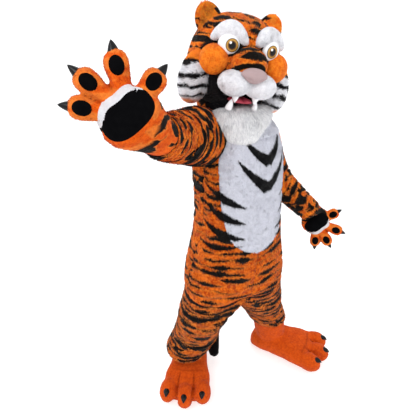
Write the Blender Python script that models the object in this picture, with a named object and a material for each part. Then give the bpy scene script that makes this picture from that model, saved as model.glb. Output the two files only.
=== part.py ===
"""Tiger mascot costume as it is worn: a hollow head, a fur suit with a belly panel, two paw
gloves, two paw feet and a tail, posed waving.

Metres. The pieces are drawn in a standing frame: floor at z 0, the hips facing -Y and the
wearer's left towards +X. The whole is then hung from the empty wearer_shoulders, so that the
origin lies between the shoulders, where the suit hangs on its wearer.
"""

import math

import bmesh
import bpy
from mathutils import Matrix, Vector

# ---------------------------------------------------------------- driving sizes
SHOULDERS = Vector((0.014, 0.025, 1.340))   # the point between the wearer's shoulders
CLOTH = 0.003                               # fur cloth and its backing
FOAM = 0.010                                # foam shell of the head, fur included
SEAM = 0.0004                               # gap between neighbouring pieces
PAD_LIFT = 0.0006                           # gap under a patch
SOLE = 0.010                                # foam sole of a foot
SLIVER = 0.00004                            # points nearer than this after a cut are one

# ---------------------------------------------------------------- finishes
FINISHES = {                                # name: colour, roughness
    "tiger_fur": ((0.86, 0.25, 0.02), 0.85),
    "orange_fur": ((0.88, 0.24, 0.02), 0.85),
    "white_fur": ((0.80, 0.80, 0.84), 0.85),
    "black_cloth": ((0.012, 0.012, 0.014), 0.8),
    "claw": ((0.015, 0.015, 0.018), 0.35),
    "tooth": ((0.85, 0.84, 0.86), 0.4),
    "nose_cloth": ((0.50, 0.38, 0.40), 0.6),
    "tongue_cloth": ((0.45, 0.03, 0.06), 0.7),
    "eye": ((0.86, 0.86, 0.86), 0.25),
}


def clear_scene():
    for old in list(bpy.data.objects):
        bpy.data.objects.remove(old)


def make_collection(name, hidden=False):
    made = bpy.data.collections.new(name)
    made.hide_render = hidden
    bpy.context.scene.collection.children.link(made)
    return made


def make_material(name):
    colour, roughness = FINISHES[name]
    made = bpy.data.materials.new(name)
    made.use_nodes = True
    shader = made.node_tree.nodes["Principled BSDF"]
    shader.inputs["Base Color"].default_value = (*colour, 1)
    shader.inputs["Roughness"].default_value = roughness
    made.diffuse_color = (*colour, 1)
    return made


clear_scene()
COSTUME = make_collection("tiger_costume")
CUTTERS = make_collection("cutters", hidden=True)
MATERIALS = {name: make_material(name) for name in FINISHES}
HANGER = bpy.data.objects.new("wearer_shoulders", None)
COSTUME.objects.link(HANGER)


# ---------------------------------------------------------------- meshes
def add_object(name, points, faces, finish):
    """A mesh object whose points are in the standing frame; finish None makes a cutter."""
    mesh = bpy.data.meshes.new(name)
    mesh.from_pydata([tuple(p) for p in points], [], faces)
    tidy = bmesh.new()
    tidy.from_mesh(mesh)
    bmesh.ops.recalc_face_normals(tidy, faces=tidy.faces)
    tidy.to_mesh(mesh)
    tidy.free()
    made = bpy.data.objects.new(name, mesh)
    if finish is None:
        made.hide_render = True
        made.display_type = "WIRE"
        CUTTERS.objects.link(made)
    else:
        mesh.materials.append(MATERIALS[finish])
        COSTUME.objects.link(made)
    made.parent = HANGER
    made.location = -SHOULDERS
    return made


def skin_faces(rings, start, wrap):
    """Quads between rings of equal length, whose first point has this index."""
    count = len(rings[0])
    faces = []
    for row in range(len(rings) - 1):
        for col in range(count if wrap else count - 1):
            a = start + row * count + col
            b = start + row * count + (col + 1) % count
            faces.append((a, b, b + count, a + count))
    return faces


def wall(name, outer, inner, finish, wrap=True):
    """A cloth wall between two skins of rings, closed along its edges."""
    count, rows = len(outer[0]), len(outer)
    shift = count * rows
    faces = skin_faces(outer, 0, wrap)
    faces += skin_faces(inner, shift, wrap)
    for col in range(count if wrap else count - 1):
        for base in (0, (rows - 1) * count):
            a, b = base + col, base + (col + 1) % count
            faces.append((a, b, b + shift, a + shift))
    if not wrap:
        for row in range(rows - 1):
            for edge in (0, count - 1):
                a, b = row * count + edge, (row + 1) * count + edge
                faces.append((a, b, b + shift, a + shift))
    points = [p for ring in outer + inner for p in ring]
    return add_object(name, points, faces, finish)


def cup(name, outer, inner, finish):
    """A wall that is closed over its first ring and open at its last one."""
    count, rows = len(outer[0]), len(outer)
    shift = count * rows
    faces = skin_faces(outer, 0, True)
    faces += skin_faces(inner, shift, True)
    base = (rows - 1) * count
    for col in range(count):
        a, b = base + col, base + (col + 1) % count
        faces.append((a, b, b + shift, a + shift))
    points = [p for ring in outer + inner for p in ring]
    for first, ring in ((0, outer[0]), (shift, inner[0])):
        points.append(sum(ring, Vector()) / count)
        hub = len(points) - 1
        faces += [(hub, first + col, first + (col + 1) % count) for col in range(count)]
    return add_object(name, points, faces, finish)


def loft(name, rings, finish, ends=(None, None)):
    """A closed solid through rings, with a fan over each end to its middle or a given point."""
    count = len(rings[0])
    faces = skin_faces(rings, 0, True)
    points = [p for ring in rings for p in ring]
    starts = (0, len(points) - count)
    for first, ring, end in zip(starts, (rings[0], rings[-1]), ends):
        points.append(sum(ring, Vector()) / count if end is None else end)
        hub = len(points) - 1
        faces += [(hub, first + col, first + (col + 1) % count) for col in range(count)]
    return add_object(name, points, faces, finish)


def ball(name, centre, radii, finish, turn=None, sides=16, rows=9, frame=None):
    """An ellipsoid through rings between two poles, turned, then placed in a frame."""
    place = Matrix.Translation(centre) @ (turn or Matrix()) @ Matrix.Diagonal((*radii, 1))
    if frame is not None:
        place = frame @ place
    rings = []
    for row in range(1, rows):
        down = math.pi * row / rows
        rings.append([
            place @ Vector((
                math.sin(down) * math.cos(2 * math.pi * step / sides),
                math.sin(down) * math.sin(2 * math.pi * step / sides),
                math.cos(down),
            ))
            for step in range(sides)
        ])
    poles = (place @ Vector((0, 0, 1)), place @ Vector((0, 0, -1)))
    return loft(name, rings, finish, poles)


def cut(target, cutter, operation="DIFFERENCE"):
    """Applies a Boolean, so that later steps see its result."""
    modifier = target.modifiers.new(cutter.name, "BOOLEAN")
    modifier.operation = operation
    modifier.object = cutter
    modifier.solver = "EXACT"
    bpy.context.view_layer.update()
    graph = bpy.context.evaluated_depsgraph_get()
    mesh = bpy.data.meshes.new_from_object(target.evaluated_get(graph))
    target.modifiers.clear()
    tidy = bmesh.new()
    tidy.from_mesh(mesh)
    bmesh.ops.remove_doubles(tidy, verts=tidy.verts, dist=SLIVER)
    bmesh.ops.dissolve_degenerate(tidy, edges=tidy.edges, dist=SLIVER)
    tidy.to_mesh(mesh)
    tidy.free()
    target.data = mesh
    return target


def swollen(source, amount=SEAM):
    """A cutter with the shape of a piece, grown along its normals."""
    mesh = source.data.copy()
    mesh.materials.clear()
    for vertex in mesh.vertices:
        vertex.co += vertex.normal * amount
    made = bpy.data.objects.new("room_for_" + source.name, mesh)
    made.hide_render = True
    made.display_type = "WIRE"
    CUTTERS.objects.link(made)
    made.parent = HANGER
    made.location = -SHOULDERS
    return made


# ---------------------------------------------------------------- curves through tables
def smooth_between(rows, t):
    """Catmull-Rom value of a table of tuples at t, in rows."""
    last = len(rows) - 1
    i = min(int(t), last - 1)
    f = t - i
    a, b, c, d = (rows[max(0, min(last, i + k))] for k in (-1, 0, 1, 2))
    return tuple(
        0.5 * (2 * q + (r - p) * f + (2 * p - 5 * q + 4 * r - s) * f * f
               + (3 * q - p - 3 * r + s) * f ** 3)
        for p, q, r, s in zip(a, b, c, d)
    )


def at_height(rows, z):
    """The table's values at a height, straight between rows whose first column is z."""
    for low, high in zip(rows, rows[1:]):
        if z <= high[0]:
            f = (z - low[0]) / (high[0] - low[0])
            return [p + (q - p) * max(0.0, f) for p, q in zip(low, high)]
    return list(rows[-1])


def bump(value, centre, width):
    return math.exp(-((value - centre) / width) ** 2)


def turned(angle):
    return Matrix.Rotation(math.radians(angle), 3, "Z")


# ---------------------------------------------------------------- trunk of the suit
# z, centre x, centre y, half width, half depth, turn to the wearer's left in degrees
TRUNK = [
    (0.600, -0.008, 0.000, 0.232, 0.168, 0),
    (0.680, -0.008, 0.000, 0.232, 0.172, 0),
    (0.770, -0.005, 0.000, 0.219, 0.170, 2),
    (0.870, 0.000, 0.000, 0.200, 0.164, 6),
    (0.970, 0.006, 0.003, 0.190, 0.160, 10),
    (1.070, 0.008, 0.008, 0.191, 0.158, 14),
    (1.160, 0.008, 0.014, 0.196, 0.159, 17),
    (1.240, 0.008, 0.020, 0.192, 0.155, 18),
    (1.300, 0.010, 0.022, 0.168, 0.140, 18),
    (1.345, 0.014, 0.025, 0.140, 0.122, 18),
    (1.375, 0.014, 0.025, 0.104, 0.104, 18),
]
TRUNK_POWER = 2.3                # 2 is an ellipse, more is squarer
BELLY_TIP = 0.855                # the belly panel's lowest point
TRUNK_HEIGHTS = [0.600, 0.650, 0.702, 0.755, 0.805, BELLY_TIP - 0.002, BELLY_TIP]
TRUNK_HEIGHTS += [0.911 + 0.056 * step for step in range(7)]
TRUNK_HEIGHTS += [1.295, 1.338, 1.375]
# z, half angle of the belly panel in degrees
BELLY_EDGE = [
    (0.855, 2.0), (0.872, 18.0), (0.900, 33.0), (0.940, 44.0), (0.990, 52.0),
    (1.070, 58.0), (1.160, 60.0), (1.240, 58.0), (1.300, 56.0), (1.375, 54.0),
]
# z, angle, height, half angle, depth: the broad creases of the trunk
TRUNK_FOLDS = [
    (0.900, -70, 0.022, 40, -0.006), (0.960, 75, 0.020, 45, -0.006),
    (0.850, 150, 0.024, 50, -0.007), (1.000, -140, 0.022, 45, -0.006),
    (0.700, -60, 0.022, 45, -0.006), (0.720, 80, 0.022, 40, -0.006),
    (1.120, -100, 0.020, 30, -0.005), (1.120, 110, 0.022, 35, -0.005),
]
FRONT_COLUMNS, BACK_COLUMNS, BELLY_COLUMNS = 4, 7, 8
FLY = (0.840, 1.300, 0.020)      # the flap over the back zip: bottom, top, half width


def from_angle(angle, other):
    return (angle - other + 180) % 360 - 180


def trunk_row(z):
    """The trunk's table at a height, smoothly between its rows."""
    for index in range(len(TRUNK) - 1):
        low, high = TRUNK[index][0], TRUNK[index + 1][0]
        if z <= high or index == len(TRUNK) - 2:
            row = smooth_between(TRUNK, index + (z - low) / (high - low))
            return (z, *row[1:])
    return TRUNK[-1]


def trunk_point(row, angle, inset):
    """A point of the trunk. angle 0 is the front, positive to the wearer's left, in degrees."""
    z, cx, cy, a, b, turn = row
    give = sum(
        depth * bump(z, fold_z, high) * bump(from_angle(angle, at), 0, wide)
        for fold_z, at, high, wide, depth in TRUNK_FOLDS
    )
    s, c = math.sin(math.radians(angle)), math.cos(math.radians(angle))
    k = (abs(s) ** TRUNK_POWER + abs(c) ** TRUNK_POWER) ** (-1 / TRUNK_POWER)
    flat = Vector(((a + give - inset) * k * s, -(b + give - inset) * k * c, 0))
    return Vector((cx, cy, z)) + turned(turn) @ flat


def trunk_panel(name, left, right, columns, finish, span=(0, 9), skins=(0.0, CLOTH)):
    """A panel between two edges, each a function of z that gives an angle in degrees."""
    walls = ([], [])
    heights = [z for z in TRUNK_HEIGHTS if span[0] < z < span[1]]
    for row in map(trunk_row, heights):
        gap = math.degrees(SEAM / 2 / row[3])
        start, end = left(row[0]) + gap, right(row[0]) - gap
        angles = [start + (end - start) * i / columns for i in range(columns + 1)]
        for skin, inset in zip(walls, skins):
            skin.append([trunk_point(row, angle, inset) for angle in angles])
    return wall(name, *walls, finish, wrap=False)


def belly_angle(z):
    return at_height(BELLY_EDGE, z)[1] if z > BELLY_TIP - 0.001 else 0.0


def fly_angle(z):
    return math.degrees(FLY[2] / trunk_row(z)[3])


def make_trunk():
    low, high, _ = FLY
    lift = (-PAD_LIFT - 0.002, -PAD_LIFT)
    return {
        "front_right": trunk_panel(
            "suit_front_right", lambda z: -90, lambda z: -belly_angle(z), FRONT_COLUMNS, "tiger_fur"),
        "front_left": trunk_panel(
            "suit_front_left", belly_angle, lambda z: 90, FRONT_COLUMNS, "tiger_fur"),
        "belly": trunk_panel(
            "suit_belly", lambda z: -belly_angle(z), belly_angle, BELLY_COLUMNS, "white_fur",
            span=(BELLY_TIP - 0.001, 9)),
        "back_right": trunk_panel(
            "suit_back_right", lambda z: -180, lambda z: -90, BACK_COLUMNS, "tiger_fur"),
        "back_left": trunk_panel(
            "suit_back_left", lambda z: 90, lambda z: 180, BACK_COLUMNS, "tiger_fur"),
        "fly": trunk_panel(
            "back_zip_fly", lambda z: 180 - fly_angle(z), lambda z: 180 + fly_angle(z), 2,
            "orange_fur", span=(low, high), skins=lift),
    }


def trunk_angles(z):
    """The angles of every panel's columns at a height, once round."""
    edge = max(belly_angle(z), 1.0)
    spans = ((-180, -90, BACK_COLUMNS), (-90, -edge, FRONT_COLUMNS), (-edge, edge, BELLY_COLUMNS),
             (edge, 90, FRONT_COLUMNS), (90, 180, BACK_COLUMNS))
    return [
        start + (end - start) * i / columns
        for start, end, columns in spans
        for i in range(columns)
    ]


def trunk_plug(name, inset):
    """The trunk as one closed cutter, inset from its outer skin."""
    rings = [
        [trunk_point(trunk_row(z), angle, inset) for angle in trunk_angles(z)]
        for z in TRUNK_HEIGHTS
    ]
    return loft(name, rings, None)


# ---------------------------------------------------------------- tubes along a path
def frames_along(points):
    """For each point of a path: its direction and two side directions that don't twist."""
    side = None
    frames = []
    for index, point in enumerate(points):
        before = points[max(0, index - 1)]
        after = points[min(len(points) - 1, index + 1)]
        along = (after - before).normalized()
        if side is None:
            side = along.cross(Vector((0, 0, 1)))
            if side.length < 0.1:
                side = Vector((1, 0, 0))
        side = (side - along * side.dot(along)).normalized()
        frames.append((along, side, along.cross(side)))
    return frames


def ring_at(centre, first, second, count, give=None, power=1.0):
    """A ring from two half-axis vectors; give(angle) moves a point out, power squares it."""
    ring = []
    for step in range(count):
        angle = 2 * math.pi * step / count
        c, s = math.cos(angle), math.sin(angle)
        out = first * math.copysign(abs(c) ** power, c) + second * math.copysign(abs(s) ** power, s)
        if give is not None:
            out = out * (1 + give(math.degrees(angle)) / out.length)
        ring.append(centre + out)
    return ring


def tube_rings(table, rows, count, inset, folds=(), extra=0.0):
    """Rings of a tube through rows of x, y, z, radius. extra lengthens both of its ends."""
    last = len(table) - 1
    samples = [smooth_between(table, last * i / (rows - 1)) for i in range(rows)]
    centres = [Vector(sample[:3]) for sample in samples]
    rings = []
    for index, (along, first, second) in enumerate(frames_along(centres)):
        t = index / (rows - 1)
        centre = centres[index]
        if extra and index in (0, rows - 1):
            centre = centre + along * (extra if index else -extra)
        radius = samples[index][3] - inset

        def give(angle, t=t):
            return sum(
                depth * bump(t, at, long) * bump(from_angle(angle, way), 0, wide)
                for at, way, long, wide, depth in folds
            )

        rings.append(ring_at(centre, first * radius, second * radius, count, give))
    return rings


# ---------------------------------------------------------------- sleeves
# x, y, z, radius from inside the trunk to the hem
SLEEVE_RIGHT = [
    (-0.095, 0.015, 1.260, 0.082), (-0.200, -0.040, 1.300, 0.092), (-0.268, -0.105, 1.342, 0.086),
    (-0.335, -0.172, 1.380, 0.077), (-0.388, -0.242, 1.412, 0.067), (-0.430, -0.300, 1.440, 0.058),
]
SLEEVE_LEFT = [
    (0.085, 0.060, 1.285, 0.072), (0.150, 0.078, 1.240, 0.080), (0.196, 0.086, 1.160, 0.074),
    (0.242, 0.058, 1.060, 0.065), (0.315, 0.022, 0.972, 0.058), (0.398, -0.014, 0.888, 0.052),
]
SLEEVE_ROWS, SLEEVE_SIDES = 15, 15
# place along the sleeve, angle, length, half angle, depth
SLEEVE_FOLDS = [
    (0.28, 20, 0.035, 70, -0.007), (0.39, -110, 0.035, 80, -0.008), (0.50, 60, 0.035, 75, -0.007),
    (0.61, -60, 0.035, 90, -0.007), (0.72, 140, 0.035, 80, -0.006), (0.84, -20, 0.035, 80, -0.005),
    (0.56, -150, 0.030, 50, -0.006), (0.78, 30, 0.030, 50, -0.005),
]


def make_sleeve(name, table, panels, trunk_room):
    outer = tube_rings(table, SLEEVE_ROWS, SLEEVE_SIDES, 0.0, SLEEVE_FOLDS)
    inner = tube_rings(table, SLEEVE_ROWS, SLEEVE_SIDES, CLOTH, SLEEVE_FOLDS)
    sleeve = wall(name, outer, inner, "tiger_fur")
    arm_room = loft("arm_room_" + name, inner, None)
    cut(sleeve, trunk_room)
    for panel in panels:
        cut(panel, arm_room)
    grown = tube_rings(table, SLEEVE_ROWS, SLEEVE_SIDES, -2 * SEAM, SLEEVE_FOLDS)
    return loft("room_for_" + name, grown, None)


# ---------------------------------------------------------------- legs
LEG_TOP = TRUNK_HEIGHTS[0] - SEAM
CROTCH = 0.490                   # height of the lowest point of the crotch seam
LEG_SIDES = 18                   # an even number: half outside, half along the crotch seam
# x, y, z, half width, half depth of a leg, below the crotch
LEG_RIGHT = [
    (-0.142, 0.010, 0.460, 0.137, 0.140), (-0.160, 0.028, 0.390, 0.124, 0.124),
    (-0.180, 0.058, 0.310, 0.114, 0.114), (-0.199, 0.088, 0.230, 0.110, 0.111),
    (-0.212, 0.106, 0.172, 0.112, 0.114), (-0.219, 0.112, 0.138, 0.109, 0.111),
]
LEG_LEFT = [
    (0.134, 0.008, 0.465, 0.118, 0.130), (0.163, 0.018, 0.405, 0.106, 0.116),
    (0.198, 0.032, 0.340, 0.099, 0.106), (0.235, 0.047, 0.270, 0.097, 0.100),
    (0.265, 0.057, 0.215, 0.100, 0.101), (0.281, 0.062, 0.182, 0.096, 0.098),
]
LEG_ROWS = 10
# height, angle from outside, height spread, half angle, depth
LEG_FOLDS = [
    (0.400, -40, 0.016, 70, -0.008), (0.352, 60, 0.016, 75, -0.007), (0.310, -120, 0.016, 90, -0.007),
    (0.262, 0, 0.015, 90, -0.008), (0.222, 150, 0.014, 90, -0.007), (0.186, -60, 0.012, 80, -0.006),
]


def leg_top_ring(side, inset):
    """Half of the trunk's lowest ring and the crotch seam between its two ends."""
    half = LEG_SIDES // 2
    row = trunk_row(TRUNK_HEIGHTS[0])
    ring = []
    for step in range(half + 1):
        point = trunk_point(row, side * 180 * step / half, inset)
        keep = SEAM / 2 + inset
        point.x = side * max(side * point.x, keep)
        point.z = LEG_TOP
        ring.append(point)
    front, back = ring[0].y, ring[-1].y
    for step in range(1, half):
        turn = math.pi * step / half
        y = (front + back) / 2 + (back - front) / 2 * math.cos(turn)
        z = LEG_TOP - (LEG_TOP - CROTCH + inset) * math.sin(turn) ** 0.8
        ring.append(Vector((side * (SEAM / 2 + inset), y, z)))
    return ring


def leg_rings(side, table, inset):
    rings = [leg_top_ring(side, inset)]
    last = len(table) - 1
    for index in range(LEG_ROWS):
        t = last * index / (LEG_ROWS - 1)
        x, y, z, a, b = smooth_between(table, t)
        ring = []
        for step in range(LEG_SIDES):
            angle = 360 * step / LEG_SIDES
            way = from_angle(angle, 90)
            give = sum(
                depth * bump(z, at, spread) * bump(from_angle(way, where), 0, wide)
                for at, where, spread, wide, depth in LEG_FOLDS
            )
            s, c = math.sin(math.radians(angle)), math.cos(math.radians(angle))
            ring.append(Vector((
                x + side * (a + give - inset) * s,
                y - (b + give - inset) * c,
                z,
            )))
        rings.append(ring)
    top, first = rings[0], rings[1]
    middle = [p.lerp(q, 0.45) for p, q in zip(top, first)]
    return [top, middle] + rings[1:]


def make_leg(name, side, table):
    return wall(name, leg_rings(side, table, 0.0), leg_rings(side, table, CLOTH), "tiger_fur")


# ---------------------------------------------------------------- tail
# x, y, z, radius from inside the seat of the suit to the tip
TAIL = [
    (0.000, 0.130, 0.780, 0.036), (0.004, 0.190, 0.752, 0.037), (0.008, 0.232, 0.690, 0.037),
    (0.006, 0.252, 0.580, 0.036), (0.000, 0.250, 0.450, 0.036), (-0.010, 0.235, 0.320, 0.036),
    (-0.024, 0.205, 0.200, 0.036), (-0.040, 0.160, 0.110, 0.034), (-0.052, 0.120, 0.075, 0.022),
]


def make_tail(trunk_room):
    tail = loft("tail", tube_rings(TAIL, 12, 10, 0.0), "tiger_fur")
    return cut(tail, trunk_room)


# ---------------------------------------------------------------- head
# The head has its own frame: x to the wearer's left, y backward, z up, from its centre.
HEAD = (
    Matrix.Translation((-0.005, 0.051, 1.580))
    @ Matrix.Rotation(math.radians(-10), 4, "Z")
    @ Matrix.Rotation(math.radians(10), 4, "Y")
)
# z, half width, half depth of the skull
SKULL = [
    (0.150, 0.050, 0.048), (0.135, 0.090, 0.086), (0.105, 0.128, 0.122), (0.062, 0.154, 0.147),
    (0.015, 0.167, 0.159), (-0.030, 0.171, 0.162), (-0.072, 0.165, 0.156), (-0.108, 0.149, 0.141),
    (-0.136, 0.127, 0.122), (-0.152, 0.112, 0.108),
]
SKULL_SIDES = 22
MOUTH = (Vector((0.0, -0.142, -0.098)), Vector((0.084, 0.058, 0.036)))


def skull_rings(inset):
    """The skull's rings, moved in along the surface's slope."""
    rings = []
    for index, (z, a, b) in enumerate(SKULL):
        low, high = SKULL[max(0, index - 1)], SKULL[min(len(SKULL) - 1, index + 1)]
        slope = Vector((low[0] - high[0], high[1] - low[1])).normalized()
        side, down = abs(slope.x) * inset, slope.y * inset
        rings.append([
            HEAD @ Vector((
                (a - side) * math.cos(2 * math.pi * step / SKULL_SIDES),
                (b - side) * math.sin(2 * math.pi * step / SKULL_SIDES),
                z - down,
            ))
            for step in range(SKULL_SIDES)
        ])
    for point in rings[-1]:
        local = HEAD.inverted() @ point
        local.z = SKULL[-1][0]
        point.xyz = (HEAD @ local).xyz
    return rings


def head_ball(name, centre, radii, finish, turn=None, sides=13, rows=7):
    return ball(name, Vector(centre), radii, finish, turn, sides, rows, HEAD)


def tilt(x=0.0, y=0.0, z=0.0):
    return (
        Matrix.Rotation(math.radians(z), 4, "Z")
        @ Matrix.Rotation(math.radians(y), 4, "Y")
        @ Matrix.Rotation(math.radians(x), 4, "X")
    )


def room_for(name, centre, radii, turn=None, sides=13, rows=7):
    """A cutter a seam's gap larger than a feature."""
    grown = [radius + SEAM + 0.0004 for radius in radii]
    return head_ball("room_for_" + name, centre, grown, None, turn, sides, rows)


def cone(name, base, tip, radius, finish, sides=6):
    """A claw or a fang: a cone with a rounded point."""
    along = (tip - base).normalized()
    first = along.cross(Vector((0.3, 0.9, 0.1))).normalized()
    second = along.cross(first)
    rings = [
        ring_at(
            base.lerp(tip, t),
            first * radius * size,
            second * radius * size,
            sides,
        )
        for t, size in ((0.0, 1.0), (0.45, 0.88), (0.92, 0.30))
    ]
    return loft(name, rings, finish)


def make_head():
    shell = cup("head_shell", skull_rings(0.0), skull_rings(FOAM), "tiger_fur")
    plug = loft("skull_room", skull_rings(-SEAM), None)
    centre, radii = MOUTH
    hole = head_ball("mouth_hole", centre, radii, None, sides=13, rows=7)
    cut(shell, hole)

    lining = head_ball(
        "mouth_lining", centre, radii - Vector((1, 1, 1)) * SEAM, "black_cloth", sides=13, rows=7)
    hollow = radii - Vector((1, 1, 1)) * (SEAM + CLOTH)
    mouth_air = head_ball("mouth_air", centre, hollow, None, sides=13, rows=7)
    cut(lining, mouth_air)
    inside = loft("inside_of_skull", skull_rings(0.0), None)
    cut(lining, inside, "INTERSECT")

    tongue = head_ball(
        "tongue", centre, hollow - Vector((1, 1, 1)) * SEAM, "tongue_cloth",
        sides=13, rows=7)
    low = head_ball(
        "tongue_shape", centre + Vector((0, 0.024, -0.032)), (0.046, 0.038, 0.022), None,
        sides=11, rows=6)
    cut(tongue, low, "INTERSECT")

    shapes = {}

    def feature(name, finish, centre, radii, cutters=(), turn=None, sides=13, rows=7):
        """A padded feature set on the head, with the room of its neighbours cut away."""
        made = head_ball(name, centre, radii, finish, turn, sides, rows)
        cut(made, plug)
        for other in cutters:
            cut(made, shapes[other])
        shapes[name] = room_for(name, centre, radii, turn, sides, rows)
        return made

    # the two lobes of the muzzle are one padded piece
    lobe = ((0.048, -0.172, -0.056), (0.060, 0.062, 0.048))
    muzzle = head_ball("muzzle", *lobe, "white_fur", tilt(z=14), 14, 8)
    other_lobe = ((-0.050, *lobe[0][1:]), lobe[1])
    cut(muzzle, head_ball("muzzle_lobe", *other_lobe, None, tilt(z=-14), 14, 8), "UNION")
    room = room_for("muzzle", *lobe, tilt(z=14), 14, 8)
    cut(room, room_for("muzzle_lobe", *other_lobe, tilt(z=-14), 14, 8), "UNION")
    cut(muzzle, plug)
    shapes["muzzle"] = room

    feature(
        "nose", "nose_cloth", (0.0, -0.221, -0.021), (0.045, 0.022, 0.024), ["muzzle"],
        tilt(x=21), 13, 7)
    for word, side in (("right", -1), ("left", 1)):
        feature(
            "eye_" + word, "eye", (side * 0.076, -0.134, 0.052), (0.036, 0.022, 0.034),
            ["muzzle"], tilt(z=side * 22), 14, 8)
        feature(
            "brow_" + word, "white_fur", (side * 0.072, -0.108, 0.098), (0.052, 0.030, 0.032),
            ["eye_" + word], tilt(x=-24, z=side * 22), 11, 6)
        feature(
            "cheek_" + word, "orange_fur", (side * 0.118, -0.110, -0.014), (0.046, 0.042, 0.046),
            ["muzzle", "eye_" + word], tilt(z=side * 35), 11, 7)
        feature(
            "ruff_" + word, "white_fur", (side * 0.150, -0.058, -0.070), (0.056, 0.060, 0.092),
            ["muzzle", "cheek_" + word], tilt(y=side * -12), 11, 7)
        feature(
            "ear_" + word, "orange_fur", (side * 0.116, 0.006, 0.128), (0.048, 0.020, 0.066),
            ["brow_" + word], tilt(x=-6, y=side * 24), 13, 8)
        hollow_ear = head_ball(
            "ear_cup_" + word, (side * 0.121, -0.016, 0.142), (0.032, 0.020, 0.044), None,
            tilt(x=-6, y=side * 24), 11, 6)
        cut(bpy.data.objects["ear_" + word], hollow_ear)

    # the bridge of the nose is one with the shell: padding from the forehead to the nose
    bridge = head_ball(
        "nose_bridge", (0.0, -0.150, 0.010), (0.044, 0.060, 0.050), None, tilt(x=-30), 12, 7)
    cut(bridge, loft("middle_of_shell", skull_rings(FOAM / 2), None))
    for other in ("muzzle", "nose", "eye_right", "eye_left", "brow_right", "brow_left"):
        cut(bridge, shapes[other])
    cut(shell, bridge, "UNION")

    for word, side in (("right", -1), ("left", 1)):
        base = HEAD @ Vector((side * 0.034, -0.182, -0.096))
        tip_point = HEAD @ Vector((side * 0.034, -0.186, -0.134))
        fang = cone("fang_upper_" + word, base, tip_point, 0.0135, "tooth")
        cut(fang, shapes["muzzle"])
    beard = feature(
        "beard", "white_fur", (0.026, -0.134, -0.206), (0.104, 0.052, 0.074), [],
        tilt(x=-8, y=-10), 13, 8)
    for word, side in (("right", -1), ("left", 1)):
        base = HEAD @ Vector((0.01 + side * 0.036, -0.172, -0.180))
        tip_point = HEAD @ Vector((0.01 + side * 0.036, -0.177, -0.124))
        fang = cone("fang_lower_" + word, base, tip_point, 0.011, "tooth")
        cut(fang, shapes["beard"])
    return shell, beard, shapes


def collar_rings(inset, rows=3):
    """From the head's neck opening down and out over the shoulders."""
    _, half, deep = SKULL[-1]
    rings = []
    for index in range(rows):
        ring = []
        for step in range(SKULL_SIDES):
            angle = 2 * math.pi * step / SKULL_SIDES
            c, s = math.cos(angle), math.sin(angle)
            top = HEAD @ Vector(((half - inset) * c, (deep - inset) * s, SKULL[-1][0] - SEAM))
            c, s = math.cos(angle - 0.17), math.sin(angle - 0.17)
            low = Vector((0.014 + (0.158 - inset) * c, 0.022 + (0.142 - inset) * s, 1.322))
            ring.append(top.lerp(low, index / (rows - 1)))
        rings.append(ring)
    return rings


def make_collar(suit_rooms, beard, shapes):
    """The fur skirt that joins the head to the shoulders."""
    collar = wall("neck_collar", collar_rings(0.0), collar_rings(CLOTH), "tiger_fur")
    collar_room = loft("collar_room", collar_rings(-0.0012), None)
    cut(beard, collar_room)
    for room in suit_rooms:
        cut(collar, room)
        cut(beard, room)
    for word in ("right", "left"):
        ruff = bpy.data.objects["ruff_" + word]
        cut(ruff, collar_room)
        cut(ruff, shapes["beard"])


# ---------------------------------------------------------------- gloves
# along the hand from its centre, half width, half depth
PALM = [(-0.044, 0.080, 0.046), (-0.012, 0.095, 0.046), (0.024, 0.099, 0.043),
        (0.056, 0.086, 0.037), (0.078, 0.050, 0.024)]
FINGER = [(0.030, 0.029), (0.080, 0.034), (0.120, 0.038), (0.146, 0.030), (0.159, 0.014)]
# name, angle from the hand's line toward the thumb, length against the first finger
FINGERS = [("one", 45, 1.00), ("two", 4, 1.01), ("three", -28, 0.93), ("thumb", 95, 0.86)]
FINGER_DEPTH = 0.86
PAD_LAYER = 0.0045


class Hand:
    """The frame of a hand: where its palm is and which way its fingers and thumb go."""

    def __init__(self, palm, along, out, thumb, size):
        self.palm = Vector(palm)
        self.out = Vector(out).normalized()
        along = Vector(along)
        self.along = (along - self.out * along.dot(self.out)).normalized()
        self.thumb = self.out.cross(self.along)
        if self.thumb.dot(Vector(thumb)) < 0:
            self.thumb = -self.thumb
        self.size = size

    def way(self, angle):
        turn = math.radians(angle)
        return self.along * math.cos(turn) + self.thumb * math.sin(turn)

    def finger(self, name, angle, length, inset, finish=None, sides=10):
        way = self.way(angle)
        across = self.out.cross(way)
        rings = []
        for place, radius in FINGER:
            reach = place * length * self.size
            if inset > 0:
                reach = min(reach, (FINGER[-1][0] * length * self.size) - inset)
            thick = max(radius * self.size - inset, 0.004)
            centre = self.palm + way * reach
            rings.append(ring_at(centre, across * thick, self.out * thick * FINGER_DEPTH, sides))
        return loft(name, rings, finish)

    def palm_rings(self, hem, hem_way, hem_radius, inset, sides=16, extra=0.0):
        """From the hem inside the sleeve through the wrist to the end of the palm."""
        across = (self.thumb - hem_way * self.thumb.dot(hem_way)).normalized()
        out = hem_way.cross(across)
        if out.dot(self.out) < 0:
            out = -out
        radius = hem_radius - inset
        rings = [ring_at(hem - hem_way * (0.014 + extra), across * radius, out * radius, sides)]
        rings.append(ring_at(hem + hem_way * 0.002, across * radius, out * radius, sides))
        place, a, b = PALM[0]
        middle = hem.lerp(self.palm + self.along * place * self.size, 0.5)
        broad = (across + self.thumb).normalized() * (0.45 * (radius + a * self.size) - inset / 2)
        deep = (out + self.out).normalized() * (0.48 * (radius + b * self.size) - inset / 2)
        rings.append(ring_at(middle, broad, deep, sides))
        for place, a, b in PALM:
            centre = self.palm + self.along * place * self.size
            half_a, half_b = a * self.size - inset, b * self.size - inset
            rings.append(ring_at(centre, self.thumb * half_a, self.out * half_b, sides, None, 0.8))
        return rings


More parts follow.
